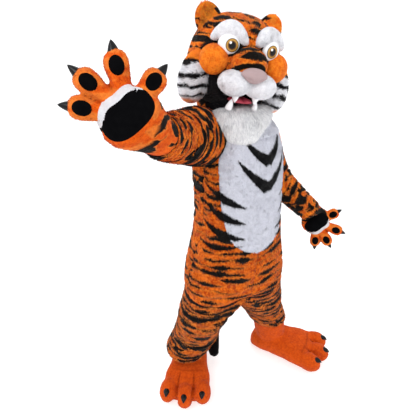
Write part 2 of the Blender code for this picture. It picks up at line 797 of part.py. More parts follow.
def make_glove(word, hand, hem, hem_way, hem_radius):
    side = "_" + word
    outer = loft("glove" + side, hand.palm_rings(hem, hem_way, hem_radius, 0.0), "orange_fur")
    grown = loft(
        "palm_layer" + side, hand.palm_rings(hem, hem_way, hem_radius, -PAD_LAYER), None)
    inner = loft(
        "palm_hollow" + side,
        hand.palm_rings(hem, hem_way, hem_radius, CLOTH, extra=0.03), None)
    for name, angle, length in FINGERS:
        cut(outer, hand.finger("finger_" + name + side, angle, length, 0.0), "UNION")
        cut(inner, hand.finger("hollow_" + name + side, angle, length, CLOTH + 0.001), "UNION")
    taken = swollen(outer, PAD_LIFT)
    cut(outer, inner)
    cut(outer, swollen(bpy.data.objects["sleeve" + side]))

    # pads lie on the palm's side, each a layer cut out by a prism
    def prism(name, centre, first, second, count=12):
        low = ring_at(centre, first, second, count)
        high = ring_at(centre + hand.out * 0.09, first, second, count)
        return loft(name, [low, high], None)

    scale = hand.size
    pad = loft(
        "palm_pad" + side, hand.palm_rings(hem, hem_way, hem_radius, -PAD_LAYER), "black_cloth")
    shape = prism(
        "palm_pad_shape" + side, hand.palm - hand.along * 0.006 * scale,
        hand.thumb * 0.076 * scale, hand.along * 0.052 * scale, 16)
    cut(pad, shape, "INTERSECT")
    cut(pad, taken)
    for name, angle, length in FINGERS:
        way = hand.way(angle)
        across = hand.out.cross(way)
        finger_pad = hand.finger(
            "finger_pad_" + name + side, angle, length, -PAD_LAYER, "black_cloth")
        centre = hand.palm + way * 0.124 * length * scale
        shape = prism(
            "pad_shape_" + name + side, centre, across * 0.0185 * scale, way * 0.0235 * scale)
        cut(finger_pad, shape, "INTERSECT")
        cut(finger_pad, taken)
        tip_point = FINGER[-1][0] * length * scale
        base = hand.palm + way * (tip_point - 0.012)
        end = hand.palm + way * (tip_point + 0.020 * scale) + hand.out * 0.004
        claw = cone("claw_" + name + side, base, end, 0.0120 * scale, "claw")
        cut(claw, taken)
    return outer


RIGHT_HAND = Hand(
    (-0.517, -0.336, 1.512), (-0.622, 0.588, 0.515), (-0.238, -0.945, 0.223),
    (0.679, 0.081, 0.728), 1.0)
LEFT_HAND = Hand(
    (0.452, -0.010, 0.810), (0.540, 0.070, -0.840), (-0.600, -0.750, 0.300),
    (0.500, 0.100, 0.600), 0.86)


def hem_of(table):
    end, before = Vector(table[-1][:3]), Vector(table[-2][:3])
    way = (end - before).normalized()
    return end, way, table[-1][3] - CLOTH - 0.0006


# ---------------------------------------------------------------- feet
# from the heel along the foot, half width, height
FOOT = [
    (0.000, 0.034, 0.055), (0.016, 0.060, 0.092), (0.060, 0.080, 0.117), (0.130, 0.088, 0.125),
    (0.205, 0.096, 0.123), (0.275, 0.112, 0.114), (0.335, 0.118, 0.102), (0.375, 0.094, 0.075),
    (0.392, 0.066, 0.050),
]
TOES = [(-0.080, 0.346), (0.000, 0.358), (0.080, 0.346)]       # across, along
TOE = Vector((0.062, 0.046, 0.054))
ANKLE = [(0.29, 0.92), (0.58, 0.98), (1.00, 1.00)]    # shares of the cuff's height and radius


def make_foot(word, heel, toe, ankle_at, ankle_radius, ankle_top):
    heel, toe = Vector((*heel, 0)), Vector((*toe, 0))
    along = (toe - heel).normalized()
    across = along.cross(Vector((0, 0, 1)))
    side = "_" + word

    def body(name, inset, sole, finish, sides):
        rings = []
        for place, half, high in FOOT:
            reach = min(max(place, FOOT[0][0] + inset), FOOT[-1][0] - inset)
            middle, rise = (high - inset + sole) / 2, (high - inset - sole) / 2
            ring = []
            for step in range(sides):
                angle = 2 * math.pi * (step + 0.5) / sides
                c, s = math.cos(angle), math.sin(angle)
                y = math.copysign(abs(c) ** 0.7, c) * (half - inset)
                z = math.copysign(abs(s) ** 0.7, s) * rise + middle
                ring.append(heel + along * reach + across * y + Vector((0, 0, z)))
            rings.append(ring)
        return loft(name, rings, finish)

    def ankle(name, inset, rise, finish, sides):
        rings = []
        for index, (height, share) in enumerate(ANKLE):
            centre = heel + along * ankle_at
            centre.z = height * ankle_top + (rise if index == 2 else 0)
            size = ankle_radius * share - inset
            rings.append(ring_at(centre, along * size * 1.06, across * size, sides))
        return loft(name, rings, finish)

    foot = body("foot" + side, 0.0, 0.0, "orange_fur", 14)
    cut(foot, ankle("ankle" + side, 0.0, 0.0, None, 14), "UNION")
    for number, (offset, reach) in enumerate(TOES):
        centre = heel + along * reach + across * offset + Vector((0, 0, TOE.z + 0.003))
        turn = Matrix.Rotation(math.atan2(along.y, along.x) - offset * 2.0, 4, "Z")
        toe_ball = ball(f"toe_{number}{side}", centre, TOE, None, turn, 11, 7)
        cut(foot, toe_ball, "UNION")
    taken = swollen(foot, PAD_LIFT)
    hollow = body("foot_hollow" + side, 0.008, SOLE, None, 10)
    cut(hollow, ankle("ankle_hollow" + side, 0.004, 0.03, None, 12), "UNION")
    cut(foot, hollow)
    cut(foot, swollen(bpy.data.objects["leg" + side]))
    for name, (offset, reach) in zip(("one", "two", "three"), TOES):
        base = heel + along * (reach + 0.040) + across * offset + Vector((0, 0, 0.064))
        end = base + along * 0.034 + Vector((0, 0, -0.016))
        claw = cone("toe_claw_" + name + side, base, end, 0.0120, "claw")
        cut(claw, taken)
    return foot


# ---------------------------------------------------------------- the whole costume
PANELS = make_trunk()
TRUNK_ROOM = trunk_plug("trunk_room", -2 * SEAM)
RIGHT_ARM_ROOM = make_sleeve(
    "sleeve_right", SLEEVE_RIGHT, (PANELS["front_right"], PANELS["back_right"]), TRUNK_ROOM)
LEFT_ARM_ROOM = make_sleeve(
    "sleeve_left", SLEEVE_LEFT, (PANELS["front_left"], PANELS["back_left"]), TRUNK_ROOM)
make_leg("leg_right", -1, LEG_RIGHT)
make_leg("leg_left", 1, LEG_LEFT)
make_tail(TRUNK_ROOM)
_, BEARD, SHAPES = make_head()
make_collar((TRUNK_ROOM, RIGHT_ARM_ROOM, LEFT_ARM_ROOM), BEARD, SHAPES)
make_glove("right", RIGHT_HAND, *hem_of(SLEEVE_RIGHT))
make_glove("left", LEFT_HAND, *hem_of(SLEEVE_LEFT))
make_foot("right", (-0.120, 0.246), (-0.328, -0.110), 0.146, 0.0770, 0.172)
make_foot("left", (0.212, 0.136), (0.466, -0.170), 0.108, 0.0800, 0.206)
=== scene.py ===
import math

import bmesh
import bpy
import numpy as np
from mathutils import Matrix, Vector
from mathutils.bvhtree import BVHTree


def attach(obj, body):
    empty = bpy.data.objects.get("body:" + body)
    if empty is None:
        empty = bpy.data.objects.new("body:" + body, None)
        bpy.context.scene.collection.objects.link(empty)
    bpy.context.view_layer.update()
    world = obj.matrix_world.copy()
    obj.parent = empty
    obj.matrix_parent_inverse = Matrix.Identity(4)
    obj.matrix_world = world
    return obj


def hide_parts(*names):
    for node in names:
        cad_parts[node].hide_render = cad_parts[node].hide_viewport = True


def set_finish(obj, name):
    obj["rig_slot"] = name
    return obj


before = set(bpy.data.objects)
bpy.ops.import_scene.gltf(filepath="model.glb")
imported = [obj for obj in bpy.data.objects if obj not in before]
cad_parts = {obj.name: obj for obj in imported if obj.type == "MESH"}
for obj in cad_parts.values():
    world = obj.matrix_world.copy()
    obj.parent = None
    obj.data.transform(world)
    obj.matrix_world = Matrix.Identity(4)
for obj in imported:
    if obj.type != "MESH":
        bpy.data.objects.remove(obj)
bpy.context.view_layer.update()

# The tables below are in a standing frame: floor at z 0, wearer's left towards +x, metres.
# The origin of the model lies between the shoulders.
shoulders = np.array((0.014, 0.025, 1.340))
seam = 0.0004
cloth = 0.003


# curves, noise and creases
def curve(table, t):
    table = np.array(table, float)
    t = np.atleast_1d(np.asarray(t, float))
    last = len(table) - 1
    i = np.clip(t.astype(int), 0, last - 1)
    f = (t - i)[:, None]
    a, b, c, d = (table[np.clip(i + k, 0, last)] for k in (-1, 0, 1, 2))
    return 0.5 * (2 * b + (c - a) * f + (2 * a - 5 * b + 4 * c - d) * f * f
                  + (3 * b - a - 3 * c + d) * f ** 3)


def atHeight(table, z):
    heights = np.array([row[0] for row in table])
    z = np.atleast_1d(np.asarray(z, float))
    i = np.clip(np.searchsorted(heights, z) - 1, 0, len(table) - 2)
    t = i + (z - heights[i]) / (heights[i + 1] - heights[i])
    return curve(table, t)[:, 1:]


def softNoise(points, scale, seed):
    # smooth random numbers from -1 to 1 over space
    place = np.asarray(points, float) * scale + seed * 17.31
    cell = np.floor(place).astype(np.int64)
    f = place - cell
    f = f * f * (3 - 2 * f)
    total = np.zeros(len(place))
    for corner in range(8):
        step = np.array(((corner & 1), (corner >> 1) & 1, corner >> 2))
        at = cell + step
        mixed = (at[:, 0] * 73856093) ^ (at[:, 1] * 19349663) ^ (at[:, 2] * 83492791)
        mixed = ((mixed ^ (mixed >> 13)) * 1274126177) & 0x7FFFFFFF
        value = (mixed ^ (mixed >> 11)) % 10007 / 10007
        total += value * np.prod(np.where(step == 1, f, 1 - f), axis=1)
    return total * 2 - 1


def turnFrom(angle, other):
    return (angle - other + 180) % 360 - 180


def creases(along, angle, folds):
    # each fold is a soft trough between two low ridges: place, angle, slant, width, reach, depth
    give = np.zeros_like(along)
    for at, way, slant, width, reach, depth in folds:
        off = turnFrom(angle, way)
        across = (along - at - slant * off / 90) / width
        length = np.exp(-np.abs(off / reach) ** 3)
        trough = -np.exp(-across ** 2)
        ridges = 0.45 * np.exp(-(np.abs(across) - 1.7) ** 2)
        give += depth * length * (trough + ridges)
    return give


def randomFolds(seed, count, span, width, reach, depth, slant):
    rng = np.random.default_rng(seed)
    folds = []
    for index in range(count):
        at = span[0] + (span[1] - span[0]) * (index + rng.uniform(-0.35, 0.35)) / max(1, count - 1)
        folds.append((
            at, rng.uniform(-180, 180), rng.uniform(-slant, slant), width * rng.uniform(0.6, 1.5),
            reach * rng.uniform(0.6, 1.4), depth * rng.uniform(0.4, 1.2),
        ))
    return folds


# meshes
def placed(name, data):
    made = bpy.data.objects.new(name, data)
    bpy.context.scene.collection.objects.link(made)
    return made


def linked(name, mesh, slot, body="root"):
    made = placed(name, mesh)
    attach(made, body)
    if slot:
        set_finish(made, slot)
    return made


def fillMesh(name, points, faces):
    # faces is an array with the same number of corners in each row
    mesh = bpy.data.meshes.new(name)
    faces = np.asarray(faces, np.int32)
    mesh.vertices.add(len(points))
    mesh.vertices.foreach_set("co", (np.asarray(points, float) - shoulders).ravel())
    mesh.loops.add(faces.size)
    mesh.loops.foreach_set("vertex_index", faces.ravel())
    mesh.polygons.add(len(faces))
    mesh.polygons.foreach_set("loop_start", np.arange(0, faces.size, faces.shape[1], dtype=np.int32))
    mesh.update()
    return mesh


def setUv(mesh, uv):
    layer = mesh.uv_layers.new(name="cloth")
    layer.data.foreach_set("uv", np.asarray(uv, float).ravel())


def setNumber(mesh, name, values):
    made = mesh.attributes.new(name, "FLOAT", "POINT")
    made.data.foreach_set("value", np.asarray(values, np.float32))


def gridFaces(rows, cols, wrap):
    a = np.arange(rows - 1)[:, None] * cols
    c = np.arange(cols if wrap else cols - 1)[None, :]
    n = (c + 1) % cols
    return np.stack([a + c, a + n, a + cols + n, a + cols + c], axis=-1).reshape(-1, 4)


def gridSkin(name, grid, u, v, slot, wrap=True, drop=None, thick=cloth, flip=False):
    # grid is rows x columns x 3; u has one more column than a wrapped grid
    rows, cols = grid.shape[:2]
    faces = gridFaces(rows, cols, wrap)
    index = np.arange(len(faces))
    r, c = index // (cols if wrap else cols - 1), index % (cols if wrap else cols - 1)
    corners = []
    for dr, dc in ((0, 0), (0, 1), (1, 1), (1, 0)):
        vc = (c + dc) % cols if v.shape[1] == cols else c + dc
        corners.append(np.stack([u[r + dr, c + dc], v[r + dr, vc]], axis=-1))
    uv = np.stack(corners, axis=1)
    if drop is not None:
        keep = ~drop.ravel()[faces].all(axis=1)
        faces, uv = faces[keep], uv[keep]
    if flip:
        faces, uv = faces[:, ::-1], uv[:, ::-1]
    mesh = fillMesh(name, grid.reshape(-1, 3), faces)
    setUv(mesh, uv)
    return dressed(name, mesh, slot, thick)


def reworked(mesh, work):
    # the mesh is opened, changed by work and written back
    opened = bmesh.new()
    opened.from_mesh(mesh)
    work(opened)
    opened.to_mesh(mesh)
    opened.free()
    mesh.shade_smooth()


def dropLoose(opened):
    bmesh.ops.delete(opened, geom=[v for v in opened.verts if not v.link_faces], context="VERTS")


def turnOut(opened):
    bmesh.ops.recalc_face_normals(opened, faces=opened.faces)


def weld(opened):
    bmesh.ops.remove_doubles(opened, verts=opened.verts, dist=0.00002)
    turnOut(opened)


def applied(made):
    bpy.context.view_layer.update()
    graph = bpy.context.evaluated_depsgraph_get()
    mesh = bpy.data.meshes.new_from_object(made.evaluated_get(graph))
    made.modifiers.clear()
    made.data = mesh
    mesh.shade_smooth()
    return made


def thickened(made, thick=cloth):
    # the cloth gets its thickness inwards
    shell = made.modifiers.new("cloth", "SOLIDIFY")
    shell.thickness = thick
    shell.offset = -1
    return applied(made)


def dressed(name, mesh, slot, thick):
    reworked(mesh, dropLoose)
    made = linked(name, mesh, slot)
    return thickened(made, thick) if thick else made


def worldPoints(made):
    co = np.empty(len(made.data.vertices) * 3)
    made.data.vertices.foreach_get("co", co)
    return co.reshape(-1, 3) + shoulders


def normalsOf(made):
    normals = np.empty(len(made.data.vertices) * 3)
    made.data.vertices.foreach_get("normal", normals)
    return normals.reshape(-1, 3)


def movePoints(made, points):
    made.data.vertices.foreach_set("co", (points - shoulders).ravel())
    made.data.update()


def ringAt(centre, first, second, count, power=1.0):
    angle = np.linspace(0, 2 * np.pi, count, endpoint=False)[:, None]
    c, s = np.cos(angle), np.sin(angle)
    return centre + first * np.sign(c) * np.abs(c) ** power + second * np.sign(s) * np.abs(s) ** power


def closedLoft(rings):
    # the points and triangles of a solid through rings of equal length
    rings = np.array(rings)
    rows, cols = rings.shape[:2]
    quads = gridFaces(rows, cols, True)
    tris = np.concatenate([quads[:, [0, 1, 2]], quads[:, [0, 2, 3]]])
    points = np.concatenate([rings.reshape(-1, 3), rings[:1].mean(axis=1), rings[-1:].mean(axis=1)])
    step = np.arange(cols)
    first = np.stack([step, (step + 1) % cols, np.full(cols, rows * cols)], axis=1)
    last = np.stack([step + (rows - 1) * cols, (step + 1) % cols + (rows - 1) * cols,
                     np.full(cols, rows * cols + 1)], axis=1)
    return points, np.concatenate([tris, first, last[:, ::-1]])


def blended(name, solids, slot, voxel, rounds, gap=None):
    # solids merged into one skin and eased where they meet
    joined = bmesh.new()
    for points, faces in solids:
        joined.from_mesh(fillMesh("part", points, faces))
    if gap:
        bmesh.ops.remove_doubles(joined, verts=joined.verts, dist=gap)
    turnOut(joined)
    mesh = bpy.data.meshes.new(name)
    joined.to_mesh(mesh)
    joined.free()
    made = linked(name, mesh, slot)
    skin = made.modifiers.new("remesh", "REMESH")
    skin.mode = "VOXEL"
    skin.voxel_size = voxel
    ease = made.modifiers.new("ease", "SMOOTH")
    ease.factor = 0.5
    ease.iterations = rounds
    return applied(made)


def positionUv(made):
    # a cloth place for each corner from its position, so that a pattern is even
    co = worldPoints(made)
    loops = np.empty(len(made.data.loops), np.int32)
    made.data.loops.foreach_get("vertex_index", loops)
    setUv(made.data, np.stack([co[loops, 0] + co[loops, 1], co[loops, 2]], axis=-1))


def trimmed(made, drop):
    # faces whose corners all lie where drop says are taken out
    def cut(opened):
        gone = drop(np.array([v.co for v in opened.verts]) + shoulders)
        opened.faces.ensure_lookup_table()
        faces = [f for f in opened.faces if all(gone[v.index] for v in f.verts)]
        bmesh.ops.delete(opened, geom=faces, context="FACES")
        dropLoose(opened)

    reworked(made.data, cut)


# trunk tables
trunk = [
    (0.600, -0.008, 0.000, 0.232, 0.168, 0),
    (0.680, -0.008, 0.000, 0.232, 0.172, 0),
    (0.770, -0.005, 0.000, 0.219, 0.170, 2),
    (0.870, 0.000, 0.000, 0.200, 0.164, 6),
    (0.970, 0.006, 0.003, 0.190, 0.160, 10),
    (1.070, 0.008, 0.008, 0.191, 0.158, 14),
    (1.160, 0.008, 0.014, 0.196, 0.159, 17),
    (1.240, 0.008, 0.020, 0.192, 0.155, 18),
    (1.300, 0.010, 0.022, 0.168, 0.140, 18),
    (1.345, 0.014, 0.025, 0.140, 0.122, 18),
    (1.375, 0.014, 0.025, 0.104, 0.104, 18),
]
bellyEdge = [
    (0.855, 2.0), (0.872, 18.0), (0.900, 33.0), (0.940, 44.0), (0.990, 52.0),
    (1.070, 60.0), (1.160, 64.0), (1.240, 66.0), (1.300, 67.0), (1.375, 66.0),
]
trunkFolds = [
    (0.900, -70, 0.010, 0.013, 40, 0.006), (0.960, 75, -0.012, 0.012, 45, 0.006),
    (0.850, 150, 0.020, 0.014, 50, 0.007), (1.000, -140, -0.02, 0.013, 45, 0.006),
    (0.700, -60, 0.030, 0.013, 45, 0.006), (0.720, 80, -0.03, 0.013, 40, 0.006),
    (1.120, -100, 0.020, 0.012, 30, 0.005), (1.120, 110, 0.02, 0.012, 35, 0.005),
    (0.655, -25, 0.050, 0.012, 40, 0.005), (0.660, 30, -0.05, 0.011, 35, 0.005),
    (0.780, -100, 0.03, 0.010, 35, 0.004), (0.770, 130, -0.03, 0.011, 40, 0.005),
    (0.800, -160, 0.02, 0.010, 35, 0.004), (1.190, -75, 0.06, 0.010, 30, 0.005),
    (1.215, 75, -0.06, 0.010, 28, 0.005), (0.935, 10, 0.01, 0.012, 45, 0.0025),
    (1.070, 20, -0.01, 0.012, 40, 0.002), (1.060, 165, 0.02, 0.012, 40, 0.004),
]
trunkFolds += randomFolds(5, 26, (0.62, 1.30), 0.007, 22, 0.0024, 0.02)


def trunkPoints(z, angle, inset=0.0):
    # angle 0 is the front, positive to the wearer's left, in degrees
    cx, cy, a, b, turn = atHeight(trunk, z).T
    give = creases(z, angle, trunkFolds)
    # the front draws in above the crotch
    give = give - 0.045 * np.exp(-((z - 0.585) / 0.045) ** 2 - (turnFrom(angle, -8) / 24) ** 2)
    s, c = np.sin(np.radians(angle)), np.cos(np.radians(angle))
    k = (np.abs(s) ** 2.3 + np.abs(c) ** 2.3) ** (-1 / 2.3)
    x, y = (a + give - inset) * k * s, -(b + give - inset) * k * c
    cos, sin = np.cos(np.radians(turn)), np.sin(np.radians(turn))
    return np.stack([cx + cos * x - sin * y, cy + sin * x + cos * y, z], axis=-1)


def trunkDepth(points):
    # how far inside the trunk's skin each point is, in metres; negative outside
    z = np.clip(points[:, 2], 0.6, 1.375)
    cx, cy, a, b, turn = atHeight(trunk, z).T
    x, y = points[:, 0] - cx, points[:, 1] - cy
    cos, sin = np.cos(np.radians(turn)), np.sin(np.radians(turn))
    x, y = cos * x + sin * y, -sin * x + cos * y
    share = (np.abs(x / a) ** 2.3 + np.abs(y / b) ** 2.3) ** (1 / 2.3)
    depth = (1 - share) * (a + b) / 2
    above = points[:, 2] - 1.375
    return np.where(above > 0, -above, depth)


def bellyAngle(z):
    z = np.asarray(z, float)
    return np.interp(z, [row[0] for row in bellyEdge], [row[1] for row in bellyEdge])


# tubes along a path
sleeveTables = {
    "right": [
        (-0.095, 0.015, 1.284, 0.082), (-0.200, -0.040, 1.323, 0.092),
        (-0.268, -0.105, 1.358, 0.086), (-0.335, -0.172, 1.388, 0.077),
        (-0.388, -0.242, 1.412, 0.067), (-0.430, -0.300, 1.440, 0.058),
    ],
    "left": [
        (0.085, 0.060, 1.285, 0.072), (0.150, 0.078, 1.240, 0.080), (0.196, 0.086, 1.160, 0.074),
        (0.242, 0.058, 1.060, 0.065), (0.315, 0.022, 0.972, 0.058), (0.398, -0.014, 0.888, 0.052),
    ],
}
legTables = {
    "right": [
        (-0.171, 0.010, 0.460, 0.105, 0.134), (-0.181, 0.028, 0.390, 0.101, 0.120),
        (-0.183, 0.058, 0.310, 0.111, 0.113), (-0.201, 0.088, 0.230, 0.108, 0.110),
        (-0.213, 0.106, 0.182, 0.108, 0.110), (-0.219, 0.112, 0.138, 0.086, 0.088),
    ],
    "left": [
        (0.134, 0.008, 0.465, 0.118, 0.130), (0.163, 0.018, 0.405, 0.106, 0.116),
        (0.198, 0.032, 0.340, 0.099, 0.106), (0.226, 0.044, 0.287, 0.097, 0.100),
        (0.243, 0.050, 0.256, 0.095, 0.096), (0.254, 0.053, 0.234, 0.088, 0.090),
    ],
}
tailTable = [
    (0.000, 0.130, 0.780, 0.036), (0.004, 0.190, 0.752, 0.037), (0.008, 0.232, 0.690, 0.037),
    (0.006, 0.252, 0.580, 0.036), (0.000, 0.250, 0.450, 0.036), (-0.010, 0.235, 0.320, 0.036),
    (-0.026, 0.200, 0.190, 0.037), (-0.046, 0.146, 0.096, 0.036), (-0.060, 0.098, 0.056, 0.025),
]


def unit(vectors):
    return vectors / np.maximum(np.linalg.norm(vectors, axis=-1, keepdims=True), 1e-9)


def framesAlong(centres):
    ways = unit(np.gradient(centres, axis=0))
    side = np.cross(ways[0], (0, 0, 1))
    if np.linalg.norm(side) < 0.1:
        side = np.array((1.0, 0, 0))
    sides = []
    for way in ways:
        side = side - way * side.dot(way)
        side = side / np.linalg.norm(side)
        sides.append(side)
    sides = np.array(sides)
    return ways, sides, np.cross(ways, sides)


def tube(table, rows, cols, folds):
    # the points of a tube with u around it and v along it in metres
    t = np.linspace(0, 1, rows)
    samples = curve(table, t * (len(table) - 1))
    centres, radius = samples[:, :3], samples[:, 3]
    _, first, second = framesAlong(centres)
    angle = np.linspace(0, 360, cols, endpoint=False)
    spread = np.tile(angle, (rows, 1))
    give = creases(np.repeat(t[:, None], cols, 1), spread, folds)
    out = (np.cos(np.radians(spread))[..., None] * first[:, None]
           + np.sin(np.radians(spread))[..., None] * second[:, None])
    grid = centres[:, None] + out * (radius[:, None] + give)[..., None]
    length = np.concatenate([[0], np.cumsum(np.linalg.norm(np.diff(centres, axis=0), axis=1))])
    u = np.radians(np.linspace(0, 360, cols + 1))[None] * np.full((rows, 1), radius.mean())
    v = np.repeat(length[:, None], cols + 1, 1)
    return grid, u, v


# head tables, in the head's frame: x to the wearer's left, y backward, z up
head = (
    Matrix.Translation((-0.005, 0.051, 1.580))
    @ Matrix.Rotation(math.radians(-10), 4, "Z")
    @ Matrix.Rotation(math.radians(10), 4, "Y")
)
headTurn = np.array(head.to_3x3())
headPlace = np.array(head.translation)
skull = [
    (-0.152, 0.112, 0.108), (-0.136, 0.127, 0.122), (-0.108, 0.149, 0.141), (-0.072, 0.165, 0.156),
    (-0.030, 0.171, 0.162), (0.015, 0.167, 0.159), (0.062, 0.154, 0.147), (0.105, 0.128, 0.122),
    (0.135, 0.090, 0.086), (0.150, 0.050, 0.048), (0.1545, 0.0, 0.0),
]


def toWorld(points):
    return np.asarray(points) @ headTurn.T + headPlace


def toHead(points):
    return (np.asarray(points) - headPlace) @ headTurn


def tilt(x=0.0, y=0.0, z=0.0):
    turned = (
        Matrix.Rotation(math.radians(z), 3, "Z")
        @ Matrix.Rotation(math.radians(y), 3, "Y")
        @ Matrix.Rotation(math.radians(x), 3, "X")
    )
    return np.array(turned)


def skullDepth(points):
    z = np.clip(points[:, 2], -0.152, 0.1544)
    a, b = np.maximum(atHeight(skull, z), 1e-4).T
    share = np.sqrt((points[:, 0] / a) ** 2 + (points[:, 1] / b) ** 2)
    return np.where(points[:, 2] > 0.1544, -1, (1 - share) * (a + b) / 2)


def within(points, centre, radii, turn):
    # below 1 inside an oval, 1 on its skin
    local = (points - np.array(centre)) @ turn / np.array(radii)
    return np.linalg.norm(local, axis=1)


# materials
def makeNode(tree, kind, settings=None, **inputs):
    made = tree.nodes.new(kind)
    for name, value in (settings or {}).items():
        setattr(made, name, value)
    for name, value in inputs.items():
        socket = made.inputs[int(name[1:])] if name[0] == "i" and name[1:].isdigit() else made.inputs[name]
        if isinstance(value, bpy.types.NodeSocket):
            tree.links.new(value, socket)
        else:
            socket.default_value = value
    return made


def maths(tree, operation, *values):
    made = tree.nodes.new("ShaderNodeMath")
    made.operation = operation
    for index, value in enumerate(values):
        if isinstance(value, bpy.types.NodeSocket):
            tree.links.new(value, made.inputs[index])
        else:
            made.inputs[index].default_value = value
    return made.outputs[0]


def noise(tree, place, scale, detail, roughness=0.5):
    return makeNode(tree, "ShaderNodeTexNoise", Vector=place, Scale=scale, Detail=detail,
                    Roughness=roughness).outputs["Fac"]


def mixColour(tree, factor, first, second):
    made = tree.nodes.new("ShaderNodeMix")
    made.data_type = "RGBA"
    for socket, value in ((made.inputs[0], factor), (made.inputs[6], first), (made.inputs[7], second)):
        if isinstance(value, bpy.types.NodeSocket):
            tree.links.new(value, socket)
        else:
            socket.default_value = value if isinstance(value, float) else (*value, 1)
    return made.outputs[2]


def stripeGroup():
    # wandering tapered stripes across v: each row of the cloth's pattern swells and breaks along u
    tree = bpy.data.node_groups.new("tigerStripes", "ShaderNodeTree")
    for name, kind in (("Place", "NodeSocketVector"), ("Period", "NodeSocketFloat"),
                       ("Width", "NodeSocketFloat"), ("Wander", "NodeSocketFloat"),
                       ("Spread", "NodeSocketFloat")):
        tree.interface.new_socket(name, in_out="INPUT", socket_type=kind)
    tree.interface.new_socket("Dark", in_out="OUTPUT", socket_type="NodeSocketFloat")
    tree.interface.new_socket("Edge", in_out="OUTPUT", socket_type="NodeSocketFloat")
    ins = tree.nodes.new("NodeGroupInput").outputs
    out = tree.nodes.new("NodeGroupOutput")
    parts = makeNode(tree, "ShaderNodeSeparateXYZ", Vector=ins["Place"]).outputs
    broad = noise(tree, ins["Place"], 7.0, 1.0)
    fine = noise(tree, ins["Place"], 34.0, 2.0)
    bend = maths(tree, "MULTIPLY", maths(tree, "SUBTRACT", broad, 0.5), ins["Wander"])
    ripple = maths(tree, "MULTIPLY", maths(tree, "SUBTRACT", fine, 0.5),
                   maths(tree, "MULTIPLY", ins["Wander"], 0.20))
    shifted = maths(tree, "ADD", parts[1], maths(tree, "ADD", bend, ripple))
    phase = maths(tree, "DIVIDE", shifted, ins["Period"])
    row = maths(tree, "FLOOR", phase)
    off = maths(tree, "ABSOLUTE", maths(tree, "SUBTRACT", maths(tree, "SUBTRACT", phase, row), 0.5))
    spot = makeNode(tree, "ShaderNodeCombineXYZ", X=maths(tree, "MULTIPLY", parts[0], ins["Spread"]),
                    Y=maths(tree, "MULTIPLY", row, 7.13), Z=parts[2]).outputs[0]
    swell = noise(tree, spot, 1.0, 1.0)
    room = maths(tree, "MULTIPLY", maths(tree, "SUBTRACT", swell, 0.44), ins["Width"])
    soft = maths(tree, "DIVIDE", maths(tree, "SUBTRACT", room, off), 0.055)
    clamped = makeNode(tree, "ShaderNodeClamp", Value=maths(tree, "ADD", soft, 0.5)).outputs[0]
    tree.links.new(clamped, out.inputs["Dark"])
    near = maths(tree, "ADD", maths(tree, "MULTIPLY", soft, 0.45), 1.1)
    tree.links.new(makeNode(tree, "ShaderNodeClamp", Value=near).outputs[0], out.inputs["Edge"])
    return tree


def barGroup():
    # one tapered bar from A to B that bows sideways, as a number from 0 to 1
    tree = bpy.data.node_groups.new("taperedBar", "ShaderNodeTree")
    for name, kind in (("Place", "NodeSocketVector"), ("From", "NodeSocketVector"),
                       ("To", "NodeSocketVector"), ("Half", "NodeSocketFloat"),
                       ("Bow", "NodeSocketFloat"), ("Peak", "NodeSocketFloat")):
        tree.interface.new_socket(name, in_out="INPUT", socket_type=kind)
    tree.interface.new_socket("Dark", in_out="OUTPUT", socket_type="NodeSocketFloat")
    ins = tree.nodes.new("NodeGroupInput").outputs
    out = tree.nodes.new("NodeGroupOutput")

    def vector(operation, *values):
        made = tree.nodes.new("ShaderNodeVectorMath")
        made.operation = operation
        for index, value in enumerate(values):
            tree.links.new(value, made.inputs[index])
        return made

    reach = vector("SUBTRACT", ins["To"], ins["From"]).outputs[0]
    offset = vector("SUBTRACT", ins["Place"], ins["From"]).outputs[0]
    square = vector("DOT_PRODUCT", reach, reach).outputs["Value"]
    t = maths(tree, "DIVIDE", vector("DOT_PRODUCT", offset, reach).outputs["Value"], square)
    length = maths(tree, "SQRT", square)
    cross = vector("CROSS_PRODUCT", reach, offset).outputs[0]
    side = maths(tree, "DIVIDE", makeNode(tree, "ShaderNodeSeparateXYZ", Vector=cross).outputs[2], length)
    arc = maths(tree, "MULTIPLY", maths(tree, "MULTIPLY", t, maths(tree, "SUBTRACT", 1.0, t)), 4.0)
    side = maths(tree, "SUBTRACT", side, maths(tree, "MULTIPLY", arc, ins["Bow"]))
    rise = maths(tree, "MINIMUM", maths(tree, "DIVIDE", t, ins["Peak"]), 1.0)
    fall = maths(tree, "DIVIDE", maths(tree, "SUBTRACT", 1.0, t), maths(tree, "SUBTRACT", 1.0, ins["Peak"]))
    shape = maths(tree, "MAXIMUM", maths(tree, "MINIMUM", rise, fall), 0.0)
    shape = maths(tree, "POWER", shape, 0.75)
    rough = noise(tree, ins["Place"], 110.0, 2.0)
    half = maths(tree, "MULTIPLY", shape, ins["Half"])
    gap = maths(tree, "SUBTRACT", half, maths(tree, "ABSOLUTE", side))
    gap = maths(tree, "ADD", gap, maths(tree, "MULTIPLY", maths(tree, "SUBTRACT", rough, 0.5), 0.004))
    soft = makeNode(tree, "ShaderNodeClamp", Value=maths(tree, "DIVIDE", gap, 0.0016)).outputs[0]
    inBar = maths(tree, "GREATER_THAN", shape, 0.001)
    tree.links.new(maths(tree, "MULTIPLY", soft, inBar), out.inputs["Dark"])
    return tree


stripes, bar = stripeGroup(), barGroup()


def startMaterial(name, roughness, **sockets):
    made = bpy.data.materials.new(name)
    made.use_nodes = True
    shader = made.node_tree.nodes["Principled BSDF"]
    shader.inputs["Roughness"].default_value = roughness
    for key, value in sockets.items():
        shader.inputs[key.replace("_", " ")].default_value = value
    return made, made.node_tree, shader


def number(tree, name):
    return makeNode(tree, "ShaderNodeAttribute", {"attribute_name": name}).outputs["Fac"]


